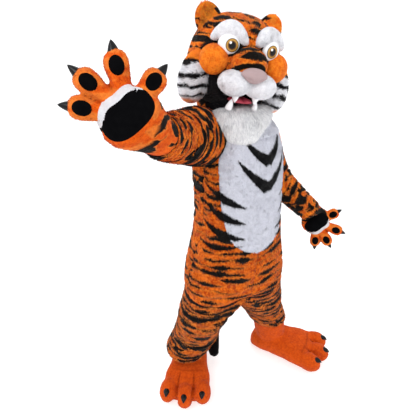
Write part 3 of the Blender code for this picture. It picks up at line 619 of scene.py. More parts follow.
def furMaterial(name, bright, deep, ink=None, pattern=(), bars=(), marks=(), sheen=0.06, mottle=3.0):
    # pile from its base to its tips, between a bright and a deep colour, with dark marks, and with painted
    # shade that darkens it towards the roots
    made, tree, shader = startMaterial(name, 0.9, Sheen_Weight=sheen, Sheen_Roughness=0.5,
                                       Specular_IOR_Level=0.06)
    uv = makeNode(tree, "ShaderNodeUVMap", {"uv_map": "cloth"}).outputs[0]
    place = makeNode(tree, "ShaderNodeTexCoord").outputs["Object"]
    patch = noise(tree, place, 22.0, 3.0, 0.6)
    clump = noise(tree, place, 85.0, 3.0, 0.6)
    shade = maths(tree, "ADD", maths(tree, "MULTIPLY", maths(tree, "SUBTRACT", patch, 0.5), mottle * 0.6),
                  maths(tree, "MULTIPLY", maths(tree, "SUBTRACT", clump, 0.5), mottle))
    shade = maths(tree, "ADD", shade, number(tree, "shade"))
    shade = makeNode(tree, "ShaderNodeClamp", Value=shade).outputs[0]
    colour = mixColour(tree, shade, deep, bright)
    dark = edge = None
    for period, width, wander, spread, shift in pattern:
        moved = makeNode(tree, "ShaderNodeVectorMath", {"operation": "ADD"}, i0=uv,
                         i1=(shift, shift, shift)).outputs[0]
        group = makeNode(tree, "ShaderNodeGroup", {"node_tree": stripes}, Place=moved, Period=period,
                         Width=width, Wander=wander, Spread=spread).outputs
        dark = group[0] if dark is None else maths(tree, "MAXIMUM", dark, group[0])
        edge = group[1] if edge is None else maths(tree, "MAXIMUM", edge, group[1])
    for start, end, half, bow, peak in bars:
        found = makeNode(tree, "ShaderNodeGroup", {"node_tree": bar}, Place=uv, From=(*start, 0),
                         To=(*end, 0), Half=half, Bow=bow, Peak=peak).outputs[0]
        dark = found if dark is None else maths(tree, "MAXIMUM", dark, found)
    if edge is not None:
        colour = mixColour(tree, maths(tree, "MULTIPLY", edge, 0.24), colour, (1.0, 0.46, 0.085))
    for attribute, tone in marks:
        colour = mixColour(tree, number(tree, attribute), colour, tone)
    if dark is not None:
        free = maths(tree, "SUBTRACT", 1.0, number(tree, "plain"))
        colour = mixColour(tree, maths(tree, "MULTIPLY", dark, free), colour, ink)
    colour = mixColour(tree, number(tree, "dark"), colour, (0.005, 0.004, 0.005))
    # painted shade: the colour is scaled down towards the roots of the pile and on the skin beneath, standing
    # in for the pile's self-shadow
    depth = maths(tree, "ADD", maths(tree, "MULTIPLY", number(tree, "tip"), 0.48), 0.70)
    colour = makeNode(tree, "ShaderNodeVectorMath", {"operation": "SCALE"}, i0=colour,
                      Scale=depth).outputs[0]
    tree.links.new(colour, shader.inputs["Base Color"])
    tufts = noise(tree, place, 95.0, 4.0, 0.6)
    bump = makeNode(tree, "ShaderNodeBump", Strength=0.55, Distance=0.006, Height=tufts)
    tree.links.new(bump.outputs[0], shader.inputs["Normal"])
    return made


brightOrange, deepOrange = (0.95, 0.235, 0.016), (0.50, 0.055, 0.003)
ink = (0.006, 0.004, 0.003)
legPattern = ((0.036, 2.30, 0.040, 9.0, 0.0), (0.031, 1.70, 0.045, 14.0, 3.7))
sleevePattern = ((0.040, 2.30, 0.075, 13.0, 8.3), (0.047, 1.80, 0.100, 16.0, 4.9))
bodyPattern = ((0.049, 2.40, 0.045, 7.0, 1.3), (0.033, 1.60, 0.050, 13.0, 5.1))
frontPattern = ((0.031, 1.95, 0.045, 8.0, 5.1),)
bellyBars = []
for side in (-1, 1):
    bellyBars += [
        ((side * 0.140, 1.335), (side * -0.012, 1.226), 0.0240, side * 0.006, 0.90),
        ((side * 0.155, 1.262), (side * -0.014, 1.118), 0.0250, side * 0.008, 0.88),
        ((side * 0.315, 1.172), (side * 0.095, 1.065), 0.0200, side * 0.008, 0.55),
        ((side * 0.322, 1.092), (side * 0.090, 0.998), 0.0205, side * 0.008, 0.55),
        ((side * 0.325, 1.005), (side * 0.080, 0.932), 0.0200, side * 0.008, 0.55),
        ((side * 0.315, 0.900), (side * 0.080, 0.903), 0.0150, side * 0.004, 0.45),
    ]
furs = {
    "body": furMaterial("tigerBody", (0.86, 0.190, 0.014), (0.42, 0.045, 0.003), ink, bodyPattern),
    "front": furMaterial("tigerFront", (0.86, 0.190, 0.014), (0.42, 0.045, 0.003), ink, frontPattern,
                         bellyBars),
    "leg": furMaterial("tigerLeg", (0.74, 0.165, 0.020), (0.32, 0.042, 0.005), ink, legPattern),
    "sleeve": furMaterial("tigerSleeve", brightOrange, deepOrange, ink, sleevePattern),
    "head": furMaterial("tigerHead", brightOrange, deepOrange, ink,
                        ((0.026, 1.9, 0.030, 12.0, 2.2), (0.021, 1.3, 0.035, 19.0, 6.1)),
                        marks=(("pale", (0.78, 0.78, 0.80)),)),
    # the glove and orange plush take a dark red mark, painted shade along the creases between fingers and
    # toes
    "glove": furMaterial("glovePlush", (0.88, 0.145, 0.008), (0.55, 0.055, 0.003), ink, sleevePattern,
                         marks=(("creaseShade", (0.20, 0.018, 0.001)),), mottle=1.8),
    "orange": furMaterial("orangePlush", (0.79, 0.112, 0.008), (0.48, 0.048, 0.003),
                          marks=(("creaseShade", (0.20, 0.018, 0.001)),), mottle=1.5),
    "cheek": furMaterial("cheekPlush", (1.0, 0.290, 0.022), (0.78, 0.130, 0.006)),
    # the ears take a lighter orange than the cheeks, painted light that lifts the cupped ears out of their
    # shade
    "ear": furMaterial("earPlush", (1.0, 0.330, 0.030), (0.92, 0.170, 0.010)),
    # the belly's white is greyer and bluer than the other white plush: painted shade over the white panel, so
    # the front reads dimmer
    "belly": furMaterial("bellyPlush", (0.71, 0.72, 0.80), (0.61, 0.62, 0.70), (0.004, 0.004, 0.005),
                         bars=bellyBars, mottle=1.2),
    "white": furMaterial("whitePlush", (0.93, 0.93, 0.96), (0.76, 0.76, 0.81), mottle=1.4),
    "beard": furMaterial("longWhiteFur", (0.97, 0.97, 0.97), (0.62, 0.62, 0.65), mottle=1.0),
    "ruff": furMaterial("ruffFur", (0.92, 0.92, 0.95), (0.66, 0.66, 0.71),
                        marks=(("warm", (0.90, 0.230, 0.020)),), mottle=1.6),
    # the collar's pale is the belly's greyer white, the same painted shade
    "collar": furMaterial("collarFur", brightOrange, deepOrange, ink, bodyPattern,
                          marks=(("pale", (0.70, 0.71, 0.79)),)),
}


def plainMaterial(name, colour, other, roughness, scale, bumpScale, strength, **sockets):
    made, tree, shader = startMaterial(name, roughness, **sockets)
    place = makeNode(tree, "ShaderNodeTexCoord").outputs["Object"]
    spots = noise(tree, place, scale, 4.0)
    tree.links.new(mixColour(tree, spots, colour, other), shader.inputs["Base Color"])
    grain = noise(tree, place, bumpScale, 3.0)
    bump = makeNode(tree, "ShaderNodeBump", Strength=strength, Distance=0.001, Height=grain)
    tree.links.new(bump.outputs[0], shader.inputs["Normal"])
    return made


blackFelt = plainMaterial("blackFelt", (0.0012, 0.0012, 0.0016), (0.0036, 0.0036, 0.0042), 1.0, 60.0, 900.0,
                          0.4, Specular_IOR_Level=0.02)
clawGloss = plainMaterial("clawGloss", (0.002, 0.002, 0.003), (0.005, 0.005, 0.006), 0.30, 90.0, 300.0,
                          0.08, Specular_IOR_Level=0.20)
toothEnamel = plainMaterial("toothFoam", (0.80, 0.80, 0.83), (0.88, 0.87, 0.88), 0.42, 40.0, 500.0, 0.1)
noseSkin = plainMaterial("noseCloth", (0.33, 0.235, 0.240), (0.42, 0.31, 0.315), 0.6, 50.0, 1200.0, 0.25,
                         Specular_IOR_Level=0.25)
tongueCloth = plainMaterial("tongueCloth", (0.36, 0.02, 0.045), (0.50, 0.05, 0.08), 0.6, 60.0, 900.0, 0.3)


# pile: thin tufts that grow from a skin and lie along its flow
def growPile(skin, name, count, length, lift, width, flow, seed, numbers=(), keep=None, outer=None,
             curl=0.35, ruffle=60.0):
    rng = np.random.default_rng(seed)
    count, width = int(count * 0.66), width * 1.2
    mesh = skin.data
    mesh.calc_loop_triangles()
    co = worldPoints(skin)
    tris = np.empty(len(mesh.loop_triangles) * 3, np.int32)
    mesh.loop_triangles.foreach_get("vertices", tris)
    tris = tris.reshape(-1, 3)
    loops = np.empty(len(tris) * 3, np.int32)
    mesh.loop_triangles.foreach_get("loops", loops)
    loops = loops.reshape(-1, 3)
    normals = normalsOf(skin)
    uv = np.zeros((len(mesh.loops), 2))
    if mesh.uv_layers:
        flat = np.empty(len(mesh.loops) * 2)
        mesh.uv_layers[0].data.foreach_get("uv", flat)
        uv = flat.reshape(-1, 2)
    a, b, c = co[tris[:, 0]], co[tris[:, 1]], co[tris[:, 2]]
    cross = np.cross(b - a, c - a)
    area = np.linalg.norm(cross, axis=1) / 2
    if outer is not None:
        area = area * outer((a + b + c) / 3, unit(cross))
    chance = area / area.sum()
    picked = np.searchsorted(np.cumsum(chance), rng.random(count)).clip(0, len(tris) - 1)
    r1, r2 = np.sqrt(rng.random(count)), rng.random(count)
    share = np.stack([1 - r1, r1 * (1 - r2), r1 * r2], axis=1)[..., None]
    root = (co[tris[picked]] * share).sum(1)
    normal = unit((normals[tris[picked]] * share).sum(1))
    place = (uv[loops[picked]] * share).sum(1)
    if keep is not None:
        chosen = keep(root)
        root, normal, place = root[chosen], normal[chosen], place[chosen]
        count = len(root)
    way = flow(root, normal) if callable(flow) else np.tile(np.array(flow, float), (count, 1))
    drift = np.stack([softNoise(root, 22.0, seed + k) for k in (1, 2, 3)], axis=1)
    clumps = np.stack([softNoise(root, ruffle, seed + k) for k in (7, 8, 9)], axis=1)
    way = way + 0.45 * drift + 0.55 * clumps + 0.22 * rng.normal(size=(count, 3))
    way = unit(way - normal * (way * normal).sum(1, keepdims=True))
    size = length(root) if callable(length) else length
    size = size * rng.uniform(0.65, 1.25, count)
    rise = np.radians(lift) * rng.uniform(0.5, 1.5, count)
    way = way * np.cos(rise)[:, None] + normal * np.sin(rise)[:, None]
    side = unit(np.cross(way, normal) + 0.25 * rng.normal(size=(count, 3)))
    half = side * (width * rng.uniform(0.6, 1.3, count) / 2)[:, None]
    foot = root - normal * 0.0006
    tip = root + way * size[:, None] - normal * (curl * size * np.sin(rise))[:, None]
    points = np.stack([foot - half, foot + half, tip], axis=1).reshape(-1, 3)
    faces = np.arange(3 * count).reshape(-1, 3)
    facing = (np.cross(half * 2, tip - foot) * normal).sum(1)
    faces[facing < 0] = faces[facing < 0][:, ::-1]
    made = fillMesh(name, points, faces)
    setUv(made, np.repeat(place, 3, axis=0))
    # tip runs from 0 at the root to 1 at the tip; the material paints shade towards the root
    setNumber(made, "tip", np.tile((0.0, 0.0, 1.0), count))
    setNumber(made, "shade", np.repeat(rng.random(count), 3))
    for key, value in numbers:
        setNumber(made, key, np.repeat(value(root), 3))
    made.shade_smooth()
    clump = np.stack([softNoise(root, ruffle, seed + k) for k in (4, 5, 6)], axis=1)
    lean = unit(normal + 0.75 * clump + 0.25 * rng.normal(size=(count, 3)))
    made.normals_split_custom_set_from_vertices(np.repeat(lean, 3, axis=0))
    pile = linked(name, made, None)
    pile.data.materials.append(skin.data.materials[0])
    if "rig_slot" in skin:
        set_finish(pile, skin["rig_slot"])
    return pile


def finishSkin(skin, material, numbers=()):
    skin.data.materials.clear()
    skin.data.materials.append(material)
    points = worldPoints(skin)
    setNumber(skin.data, "shade", np.full(len(points), 0.5))
    # painted shade: the skin counts as lying near the roots of its pile, so it is drawn darker
    setNumber(skin.data, "tip", np.full(len(points), 0.35))
    for key, value in numbers:
        setNumber(skin.data, key, value(points))


downward = (0.0, 0.0, -1.0)
sheets, pads = [], []


# trunk panels
def outward(centre):
    def weigh(points, normals):
        return ((points - centre(points)) * normals).sum(1) > 0
    return weigh


def trunkCentre(points):
    z = np.clip(points[:, 2], 0.6, 1.375)
    cx, cy, _, _, _ = atHeight(trunk, z).T
    return np.stack([cx, cy, points[:, 2]], axis=-1)


def tubeDepth(points, table):
    samples = curve(table, np.linspace(0, 1, 60) * (len(table) - 1))
    gap = np.linalg.norm(points[:, None] - samples[None, :, :3], axis=2)
    nearest = gap.argmin(axis=1)
    return samples[nearest, 3] - gap[np.arange(len(points)), nearest]


hipLevel = 0.600
bellyTip = 0.854
bellyLow = 0.855
clothRadius = 0.205
trunkPanels = {
    "suitFrontRight": ("suit_front_right", lambda z: -90 + 0 * z,
                       lambda z: -bellyAngle(z) * (z > bellyTip), 40, "front"),
    "suitFrontLeft": ("suit_front_left", lambda z: bellyAngle(z) * (z > bellyTip),
                      lambda z: 90 + 0 * z, 40, "front"),
    "suitBelly": ("suit_belly", lambda z: -bellyAngle(z), bellyAngle, 60, "belly"),
    "suitBackRight": ("suit_back_right", lambda z: -180 + 0 * z, lambda z: -90 + 0 * z, 52, "body"),
    "suitBackLeft": ("suit_back_left", lambda z: 90 + 0 * z, lambda z: 180 + 0 * z, 52, "body"),
}
pileCounts = {"suitFrontRight": 26000, "suitFrontLeft": 24000, "suitBelly": 42000,
              "suitBackRight": 26000, "suitBackLeft": 26000}
for index, (name, (node, left, right, cols, fur)) in enumerate(trunkPanels.items()):
    low = bellyLow if name == "suitBelly" else hipLevel
    z = np.linspace(low, 1.375, 74 if low > 0.7 else 104)
    share = np.linspace(0, 1, cols + 1)[None]
    start, end = left(z)[:, None], right(z)[:, None]
    angle = start + (end - start) * share
    z = np.repeat(z[:, None], cols + 1, 1)
    sink = 0.0022 * (np.exp(-(share * cols / 1.3) ** 2) + np.exp(-((1 - share) * cols / 1.3) ** 2))
    sink = np.repeat(sink, len(z), 0).ravel()
    grid = trunkPoints(z.ravel(), angle.ravel(), sink).reshape(*z.shape, 3)
    flatPoints = grid.reshape(-1, 3)
    drop = np.zeros(len(flatPoints), bool)
    for table in sleeveTables.values():
        drop |= tubeDepth(flatPoints, table) > 0.010
    u = np.radians(angle) * clothRadius
    skin = gridSkin(name, grid, u, z, None, False, drop.reshape(z.shape))
    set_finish(skin, "white_fur" if fur == "belly" else "tiger_fur")
    finishSkin(skin, furs[fur])
    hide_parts(node)
    pile = growPile(skin, name + "Pile", pileCounts[name], 0.0095, 22, 0.0022, downward, 40 + index,
                    outer=outward(trunkCentre))
    sheets.append((skin, pile))
print("trunk")

# sleeves
sleeveFolds = {
    "right": [
        (0.30, 20, 0.05, 0.018, 75, 0.007), (0.39, -110, -0.04, 0.016, 80, 0.008),
        (0.47, 60, 0.05, 0.016, 75, 0.008), (0.55, -60, 0.04, 0.015, 90, 0.008),
        (0.63, 120, -0.04, 0.015, 80, 0.007), (0.71, 0, 0.03, 0.014, 85, 0.007),
        (0.79, -140, -0.03, 0.013, 80, 0.006), (0.86, 60, 0.03, 0.012, 90, 0.005),
        (0.93, -40, 0.02, 0.011, 90, 0.004), (0.34, 160, 0.04, 0.015, 60, 0.006),
    ],
    "left": [
        (0.26, 40, 0.04, 0.017, 80, 0.006), (0.38, -100, -0.05, 0.016, 80, 0.007),
        (0.50, 60, 0.04, 0.014, 75, 0.007), (0.58, -50, -0.03, 0.013, 85, 0.006),
        (0.66, 150, 0.03, 0.013, 80, 0.006), (0.76, 0, 0.03, 0.013, 85, 0.006),
        (0.86, -130, -0.02, 0.012, 80, 0.005), (0.93, 60, 0.02, 0.011, 80, 0.004),
    ],
}
for word, table in sleeveTables.items():
    folds = [(*fold[:5], fold[5] * 1.5) for fold in sleeveFolds[word]]
    folds += randomFolds(11 if word == "right" else 12, 34, (0.24, 0.97), 0.009, 34, 0.0042, 0.06)
    grid, u, v = tube(table, 104, 80, folds)
    # the shoulder stands a little prouder above than below
    t = np.linspace(0, 1, 104)[:, None, None]
    over = unit(grid - grid.mean(axis=1, keepdims=True))[..., 2:3]
    grid = grid + np.array((0, 0, 0.034)) * np.clip(over, 0, 1) * np.exp(-((t - 0.16) / 0.24) ** 2)
    inside = trunkDepth(grid.reshape(-1, 3)).reshape(grid.shape[:2]) > 0.012
    inside[52:] = False
    name = "sleeve" + word.capitalize()
    skin = gridSkin(name, grid, u, v, "tiger_fur", True, inside)
    finishSkin(skin, furs["sleeve"])
    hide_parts("sleeve_" + word)
    line = curve(table, np.linspace(0, 1, 60) * (len(table) - 1))[:, :3]
    lineWay = unit(np.gradient(line, axis=0))

    def nearestLine(points, line=line):
        return np.linalg.norm(points[:, None] - line[None], axis=2).argmin(axis=1)

    pile = growPile(skin, name + "Pile", 44000 if word == "right" else 34000, 0.0095, 22, 0.0021,
                    lambda root, normal, lineWay=lineWay, near=nearestLine: lineWay[near(root)],
                    60 if word == "right" else 61,
                    outer=outward(lambda p, line=line, near=nearestLine: line[near(p)]))
    sheets.append((skin, pile))
print("sleeves")

# legs
legFolds = {
    "right": [
        (0.400, -40, 0.015, 0.010, 70, 0.007), (0.352, 60, -0.015, 0.010, 75, 0.007),
        (0.310, -120, 0.012, 0.010, 90, 0.007), (0.262, 0, -0.012, 0.009, 90, 0.008),
        (0.222, 150, 0.010, 0.009, 90, 0.007), (0.186, -60, -0.010, 0.008, 80, 0.006),
        (0.162, 80, 0.008, 0.007, 70, 0.005), (0.285, 110, 0.012, 0.008, 60, 0.005),
        (0.520, -70, 0.03, 0.012, 50, 0.005), (0.470, 40, -0.03, 0.012, 50, 0.005),
    ],
    "left": [
        (0.405, 30, -0.015, 0.010, 70, 0.006), (0.356, -60, 0.015, 0.010, 75, 0.006),
        (0.312, 120, -0.012, 0.009, 90, 0.006), (0.270, -20, 0.012, 0.009, 90, 0.006),
        (0.236, 90, -0.010, 0.008, 80, 0.005), (0.210, -120, 0.010, 0.008, 80, 0.005),
        (0.530, 60, -0.03, 0.012, 50, 0.005), (0.480, -40, 0.03, 0.012, 50, 0.005),
    ],
}


def legGrid(side, table, folds, cols=88, topRows=28, rows=66):
    half = cols // 2
    # half of the trunk's lowest ring, then the crotch seam back to its start
    turns = np.arange(half + 1) / half
    top = trunkPoints(np.full(half + 1, hipLevel), side * 180 * turns)
    top[:, 0] = side * np.maximum(side * top[:, 0], seam / 2)
    top[:, 2] = hipLevel - seam
    front, back = top[0, 1], top[-1, 1]
    turn = np.pi * np.arange(1, half) / half
    gussetSide = side * seam / 2 - 0.042 * np.sin(turn)
    gussetDepth = (front + back) / 2 + (back - front) / 2 * np.cos(turn)
    gussetLevel = hipLevel - seam - (hipLevel - seam - 0.574) * np.sin(turn) ** 0.8
    inner = np.stack([gussetSide, gussetDepth, gussetLevel], axis=-1)
    top = np.concatenate([top, inner])
    t = np.linspace(0, 1, rows) * (len(table) - 1)
    x, y, z, a, b = curve(table, t).T
    angle = np.arange(cols) * 360 / cols
    way = turnFrom(np.tile(angle, (rows, 1)), 90)
    give = creases(np.repeat(z[:, None], cols, 1), way, folds)
    s, c = np.sin(np.radians(angle)), np.cos(np.radians(angle))
    low = np.stack([x[:, None] + side * (a[:, None] + give) * s, y[:, None] - (b[:, None] + give) * c,
                    np.repeat(z[:, None], cols, 1)], axis=-1)
    share = np.linspace(0, 1, topRows)[:-1, None, None]
    high = top[None] * (1 - share) + low[0][None] * share
    grid = np.concatenate([high, low])
    # the bend where the thigh meets the rings is eased
    for _ in range(30):
        middle = grid[1:-1].copy()
        near = (grid[:-2] + grid[2:]) / 2
        weight = np.exp(-((np.arange(1, len(grid) - 1) - topRows) / 9.0) ** 2)[:, None, None]
        grid[1:-1] = middle + 0.6 * weight * (near - middle)
    centre = grid.mean(axis=1, keepdims=True)
    thigh = np.linspace(hipLevel, z[0], topRows)[:-1]
    heights = np.concatenate([thigh, z])
    thighLevels = np.repeat(heights[:topRows - 1, None], cols, 1)
    extra = creases(thighLevels, turnFrom(np.tile(angle, (topRows - 1, 1)), 90), folds)
    fade = np.clip(np.arange(topRows - 1) / 8, 0, 1)[:, None]
    out = unit((grid - centre)[:topRows - 1] * (1, 1, 0))
    grid[:topRows - 1] += out * (extra * fade)[..., None]
    steps = np.linalg.norm(np.diff(grid, axis=0), axis=2).mean(axis=1)
    v = np.repeat((0.6 - np.concatenate([[0], np.cumsum(steps)]))[:, None], cols + 1, 1)
    u = side * np.radians(np.linspace(0, 360, cols + 1))[None] * np.full((len(grid), 1), 0.118)
    return grid, u, v


for word, side in (("right", -1), ("left", 1)):
    folds = [(*fold[:5], fold[5] * 1.35) for fold in legFolds[word]]
    folds += randomFolds(21 if side < 0 else 22, 34, (0.16, 0.56), 0.006, 34, 0.0036, 0.014)
    grid, u, v = legGrid(side, legTables[word], folds)
    name = "leg" + word.capitalize()
    skin = gridSkin(name, grid, u, v, "tiger_fur", True, None, flip=side > 0)
    finishSkin(skin, furs["leg"])
    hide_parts("leg_" + word)
    centres = grid.mean(axis=1)

    def legCentre(points, centres=centres):
        order = np.argsort(centres[:, 2])
        x = np.interp(points[:, 2], centres[order, 2], centres[order, 0])
        y = np.interp(points[:, 2], centres[order, 2], centres[order, 1])
        return np.stack([x, y, points[:, 2]], axis=-1)

    pile = growPile(skin, name + "Pile", 50000 if side < 0 else 44000, 0.0095, 22, 0.0021, downward,
                    70 + side, outer=outward(legCentre))
    sheets.append((skin, pile))
print("legs")

# tail
grid, u, v = tube(tailTable, 150, 48, randomFolds(31, 24, (0.1, 0.97), 0.008, 60, 0.0016, 0.02))
tipCentre = grid[-1].mean(axis=0)
tipWay = unit(grid[-1].mean(axis=0) - grid[-3].mean(axis=0))
tipRows, tipDepth = 8, 0.018
caps = []
for step in range(1, tipRows + 1):
    turn = math.pi / 2 * step / tipRows
    shrunk = (grid[-1] - tipCentre) * max(math.cos(turn), 0.02)
    caps.append(tipCentre + shrunk + tipWay * tipDepth * math.sin(turn))
grid = np.concatenate([grid, np.array(caps)])
u = np.concatenate([u, np.repeat(u[-1:], tipRows, 0)])
v = np.concatenate([v, v[-1:] + 0.003 * np.arange(1, tipRows + 1)[:, None]])
inside = trunkDepth(grid.reshape(-1, 3)).reshape(grid.shape[:2]) > 0.010
inside[60:] = False
tail = gridSkin("tailFur", grid, u, v, "tiger_fur", True, inside, thick=0)


def tailDark(points):
    return 1 / (1 + np.exp((points[:, 2] - 0.150 - 0.012 * softNoise(points, 60, 4)) / 0.003))


finishSkin(tail, furs["leg"], (("dark", tailDark),))
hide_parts("tail")
line = curve(tailTable, np.linspace(0, 1, 80) * (len(tailTable) - 1))[:, :3]
lineWay = unit(np.gradient(line, axis=0))
growPile(tail, "tailPile", 24000, 0.011, 24, 0.0022,
         lambda root, normal: lineWay[np.linalg.norm(root[:, None] - line[None], axis=2).argmin(axis=1)],
         75, numbers=(("dark", tailDark),))
pads.append((tail, 0.8))
print("tail")


# head
def oval(centre, radii, turn=None, cols=48, rows=32, shape=None):
    # an oval's grid in the head's frame; shape(x, y, z) moves the unit ball's points first
    down = np.linspace(0, np.pi, rows)[:, None]
    around = np.linspace(0, 2 * np.pi, cols, endpoint=False)[None]
    x, y, z = np.sin(down) * np.cos(around), np.sin(down) * np.sin(around), np.cos(down) + 0 * around
    if shape is not None:
        x, y, z = shape(x, y, z)
    local = np.stack([x, y, z], axis=-1) * np.array(radii)
    turn = np.eye(3) if turn is None else turn
    return local @ turn.T + np.array(centre)


def pad(name, node, grid, material, slot, cut=0.004, numbers=(), keepFaces=None, depth=None):
    # a padded feature of the head; what lies deep inside the skull is left out
    rows, cols = grid.shape[:2]
    flat = grid.reshape(-1, 3)
    drop = (skullDepth(flat) if depth is None else depth(flat)) > cut
    if keepFaces is not None:
        drop |= ~keepFaces(flat)
    u = np.linspace(0, 0.25, cols + 1)[None] * np.ones((rows, 1))
    v = np.linspace(0, 0.15, rows)[:, None] * np.ones((1, cols + 1))
    world = toWorld(flat).reshape(grid.shape)
    made = gridSkin(name, world, u, v, slot, True, drop.reshape(rows, cols), thick=0, flip=True)
    reworked(made.data, weld)
    finishSkin(made, material, numbers)
    if node:
        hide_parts(node)
    return made


mouthCentre, mouthRadii = np.array((0.0, -0.142, -0.098)), np.array((0.084, 0.058, 0.036))
t = np.concatenate([np.linspace(0, 8.5, 66), 8.5 + 1.5 * np.sin(np.linspace(0, np.pi / 2, 13))[1:]])
z, a, b = curve(skull, t).T
a, b = np.maximum(a, 0.0004), np.maximum(b, 0.0004)
around = np.linspace(0, 2 * np.pi, 112, endpoint=False)
grid = np.stack([a[:, None] * np.cos(around), b[:, None] * np.sin(around),
                 np.repeat(z[:, None], 112, 1)], axis=-1)
flat = grid.reshape(-1, 3)
mouthGap = within(flat, mouthCentre, mouthRadii, np.eye(3)) < 0.93


def headDark(points):
    # black cloth round the mouth and a line outside each cheek
    p = toHead(points)
    wobble = 0.06 * softNoise(points, 70, 9)
    jaw = np.hypot(p[:, 0] / 0.155, (p[:, 2] + 0.108) / 0.082) + wobble
    dark = (jaw < 1) & (p[:, 1] < 0.0)
    for side in (-1, 1):
        rim = within(p, (side * 0.118, -0.110, -0.006), (0.063, 0.063, 0.065), tilt(z=side * 35)) + wobble
        dark |= (rim < 1) & (p[:, 1] < 0)
        lid = within(p, (side * 0.076, -0.134, 0.052), (0.047, 0.034, 0.043), tilt(z=side * 22)) + wobble
        dark |= lid < 1
    return dark.astype(float)


def headPlain(points):
    # no stripes low on the sides, where the ruffs grow
    p = toHead(points)
    return np.clip((0.0 - p[:, 2]) / 0.02, 0, 1) * (p[:, 1] < 0.02)


u = around[None].repeat(len(z), 0)
u = np.concatenate([u, np.full((len(z), 1), 2 * np.pi)], axis=1) * 0.15
v = np.repeat(z[:, None], 113, 1)
headShell = gridSkin("headShell", toWorld(flat).reshape(grid.shape), u, v, "tiger_fur", True,
                     mouthGap.reshape(grid.shape[:2]), thick=0.008)
headNumbers = (("dark", headDark), ("plain", headPlain))
finishSkin(headShell, furs["head"], headNumbers)
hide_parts("head_shell")

faceOvals = {}
for word, side in (("Right", -1), ("Left", 1)):
    faceOvals["eye" + word] = ((side * 0.076, -0.134, 0.052), (0.036, 0.022, 0.034), tilt(z=side * 22))
    faceOvals["brow" + word] = ((side * 0.071, -0.123, 0.080), (0.060, 0.034, 0.036),
                                tilt(x=-24, z=side * 22))
    faceOvals["cheek" + word] = ((side * 0.112, -0.116, -0.003), (0.050, 0.046, 0.049), tilt(z=side * 35))
    faceOvals["ruff" + word] = ((side * 0.150, -0.058, -0.070), (0.056, 0.060, 0.092), tilt(y=side * -12))
    faceOvals["ear" + word] = ((side * 0.116, 0.000, 0.114), (0.048, 0.020, 0.060), tilt(x=-6, y=side * 27))
    faceOvals["lobe" + word] = ((side * 0.046, -0.172, -0.063), (0.056, 0.060, 0.041), tilt(z=side * 14))


def clearOf(*names, grow=0.0):
    def keep(points):
        p = toHead(points)
        free = np.ones(len(p), bool)
        for name in names:
            centre, radii, turn = faceOvals[name]
            free &= within(p, centre, np.array(radii) + grow, turn) > 1
        return free
    return keep


def awayFromNose(points, normal=None):
    p = toHead(points)
    way = p - np.array((0.0, -0.230, -0.020))
    way[:, 2] *= 0.8
    return unit(way) @ headTurn.T


headPile = growPile(headShell, "headShellPile", 46000, 0.0100, 24, 0.0022, awayFromNose, 81, headNumbers,
                    clearOf(*faceOvals), outward(lambda p: headPlace + 0 * p))
sheets.append((headShell, headPile))
print("head")

# muzzle: two lobes, a bridge from the brow down to the nose, and the nose
def lobeShape(x, y, z):
    return x, y, z * (1 + 0.06 * (z < 0))


lobes = [oval(*faceOvals["lobe" + word], 56, 40, lobeShape) for word in ("Right", "Left")]
lobeSolids = [(toWorld(lobe.reshape(-1, 3)), gridFaces(40, 56, True)) for lobe in lobes]
muzzle = blended("muzzleFur", lobeSolids, "white_fur", 0.0032, 5, 0.00005)
trimmed(muzzle, lambda p: skullDepth(toHead(p)) > 0.008)
positionUv(muzzle)
finishSkin(muzzle, furs["white"])
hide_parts("muzzle")
growPile(muzzle, "muzzlePile", 17000, 0.0065, 26, 0.0016, awayFromNose, 82)
pads.append((muzzle, 0.9))

bridge = pad("noseBridge", None, oval((0, -0.152, -0.004), (0.064, 0.062, 0.056), tilt(x=-30), 64, 44),
             furs["head"], "tiger_fur")
growPile(bridge, "noseBridgePile", 9000, 0.0060, 24, 0.0016, awayFromNose, 83,
         keep=clearOf("eyeRight", "eyeLeft", "lobeRight", "lobeLeft"))
pads.append((bridge, 0.8))


def noseShape(x, y, z):
    # broad above, pinched to a point below, with two nostril hollows
    narrow = 1 - 0.42 * np.clip(-z, 0, 1) ** 0.8
    hollow = sum(np.exp(-((x - s * 0.52) / 0.20) ** 2 - ((z + 0.28) / 0.26) ** 2) for s in (-1, 1))
    return x * narrow, y * (1 - 0.35 * hollow * (y < 0)), z


nose = pad("noseTip", "nose",
           oval((0.0, -0.219, -0.030), (0.046, 0.024, 0.025), tilt(x=16), 64, 44, noseShape),
           noseSkin, "nose_cloth")
pads.append((nose, 0.9))

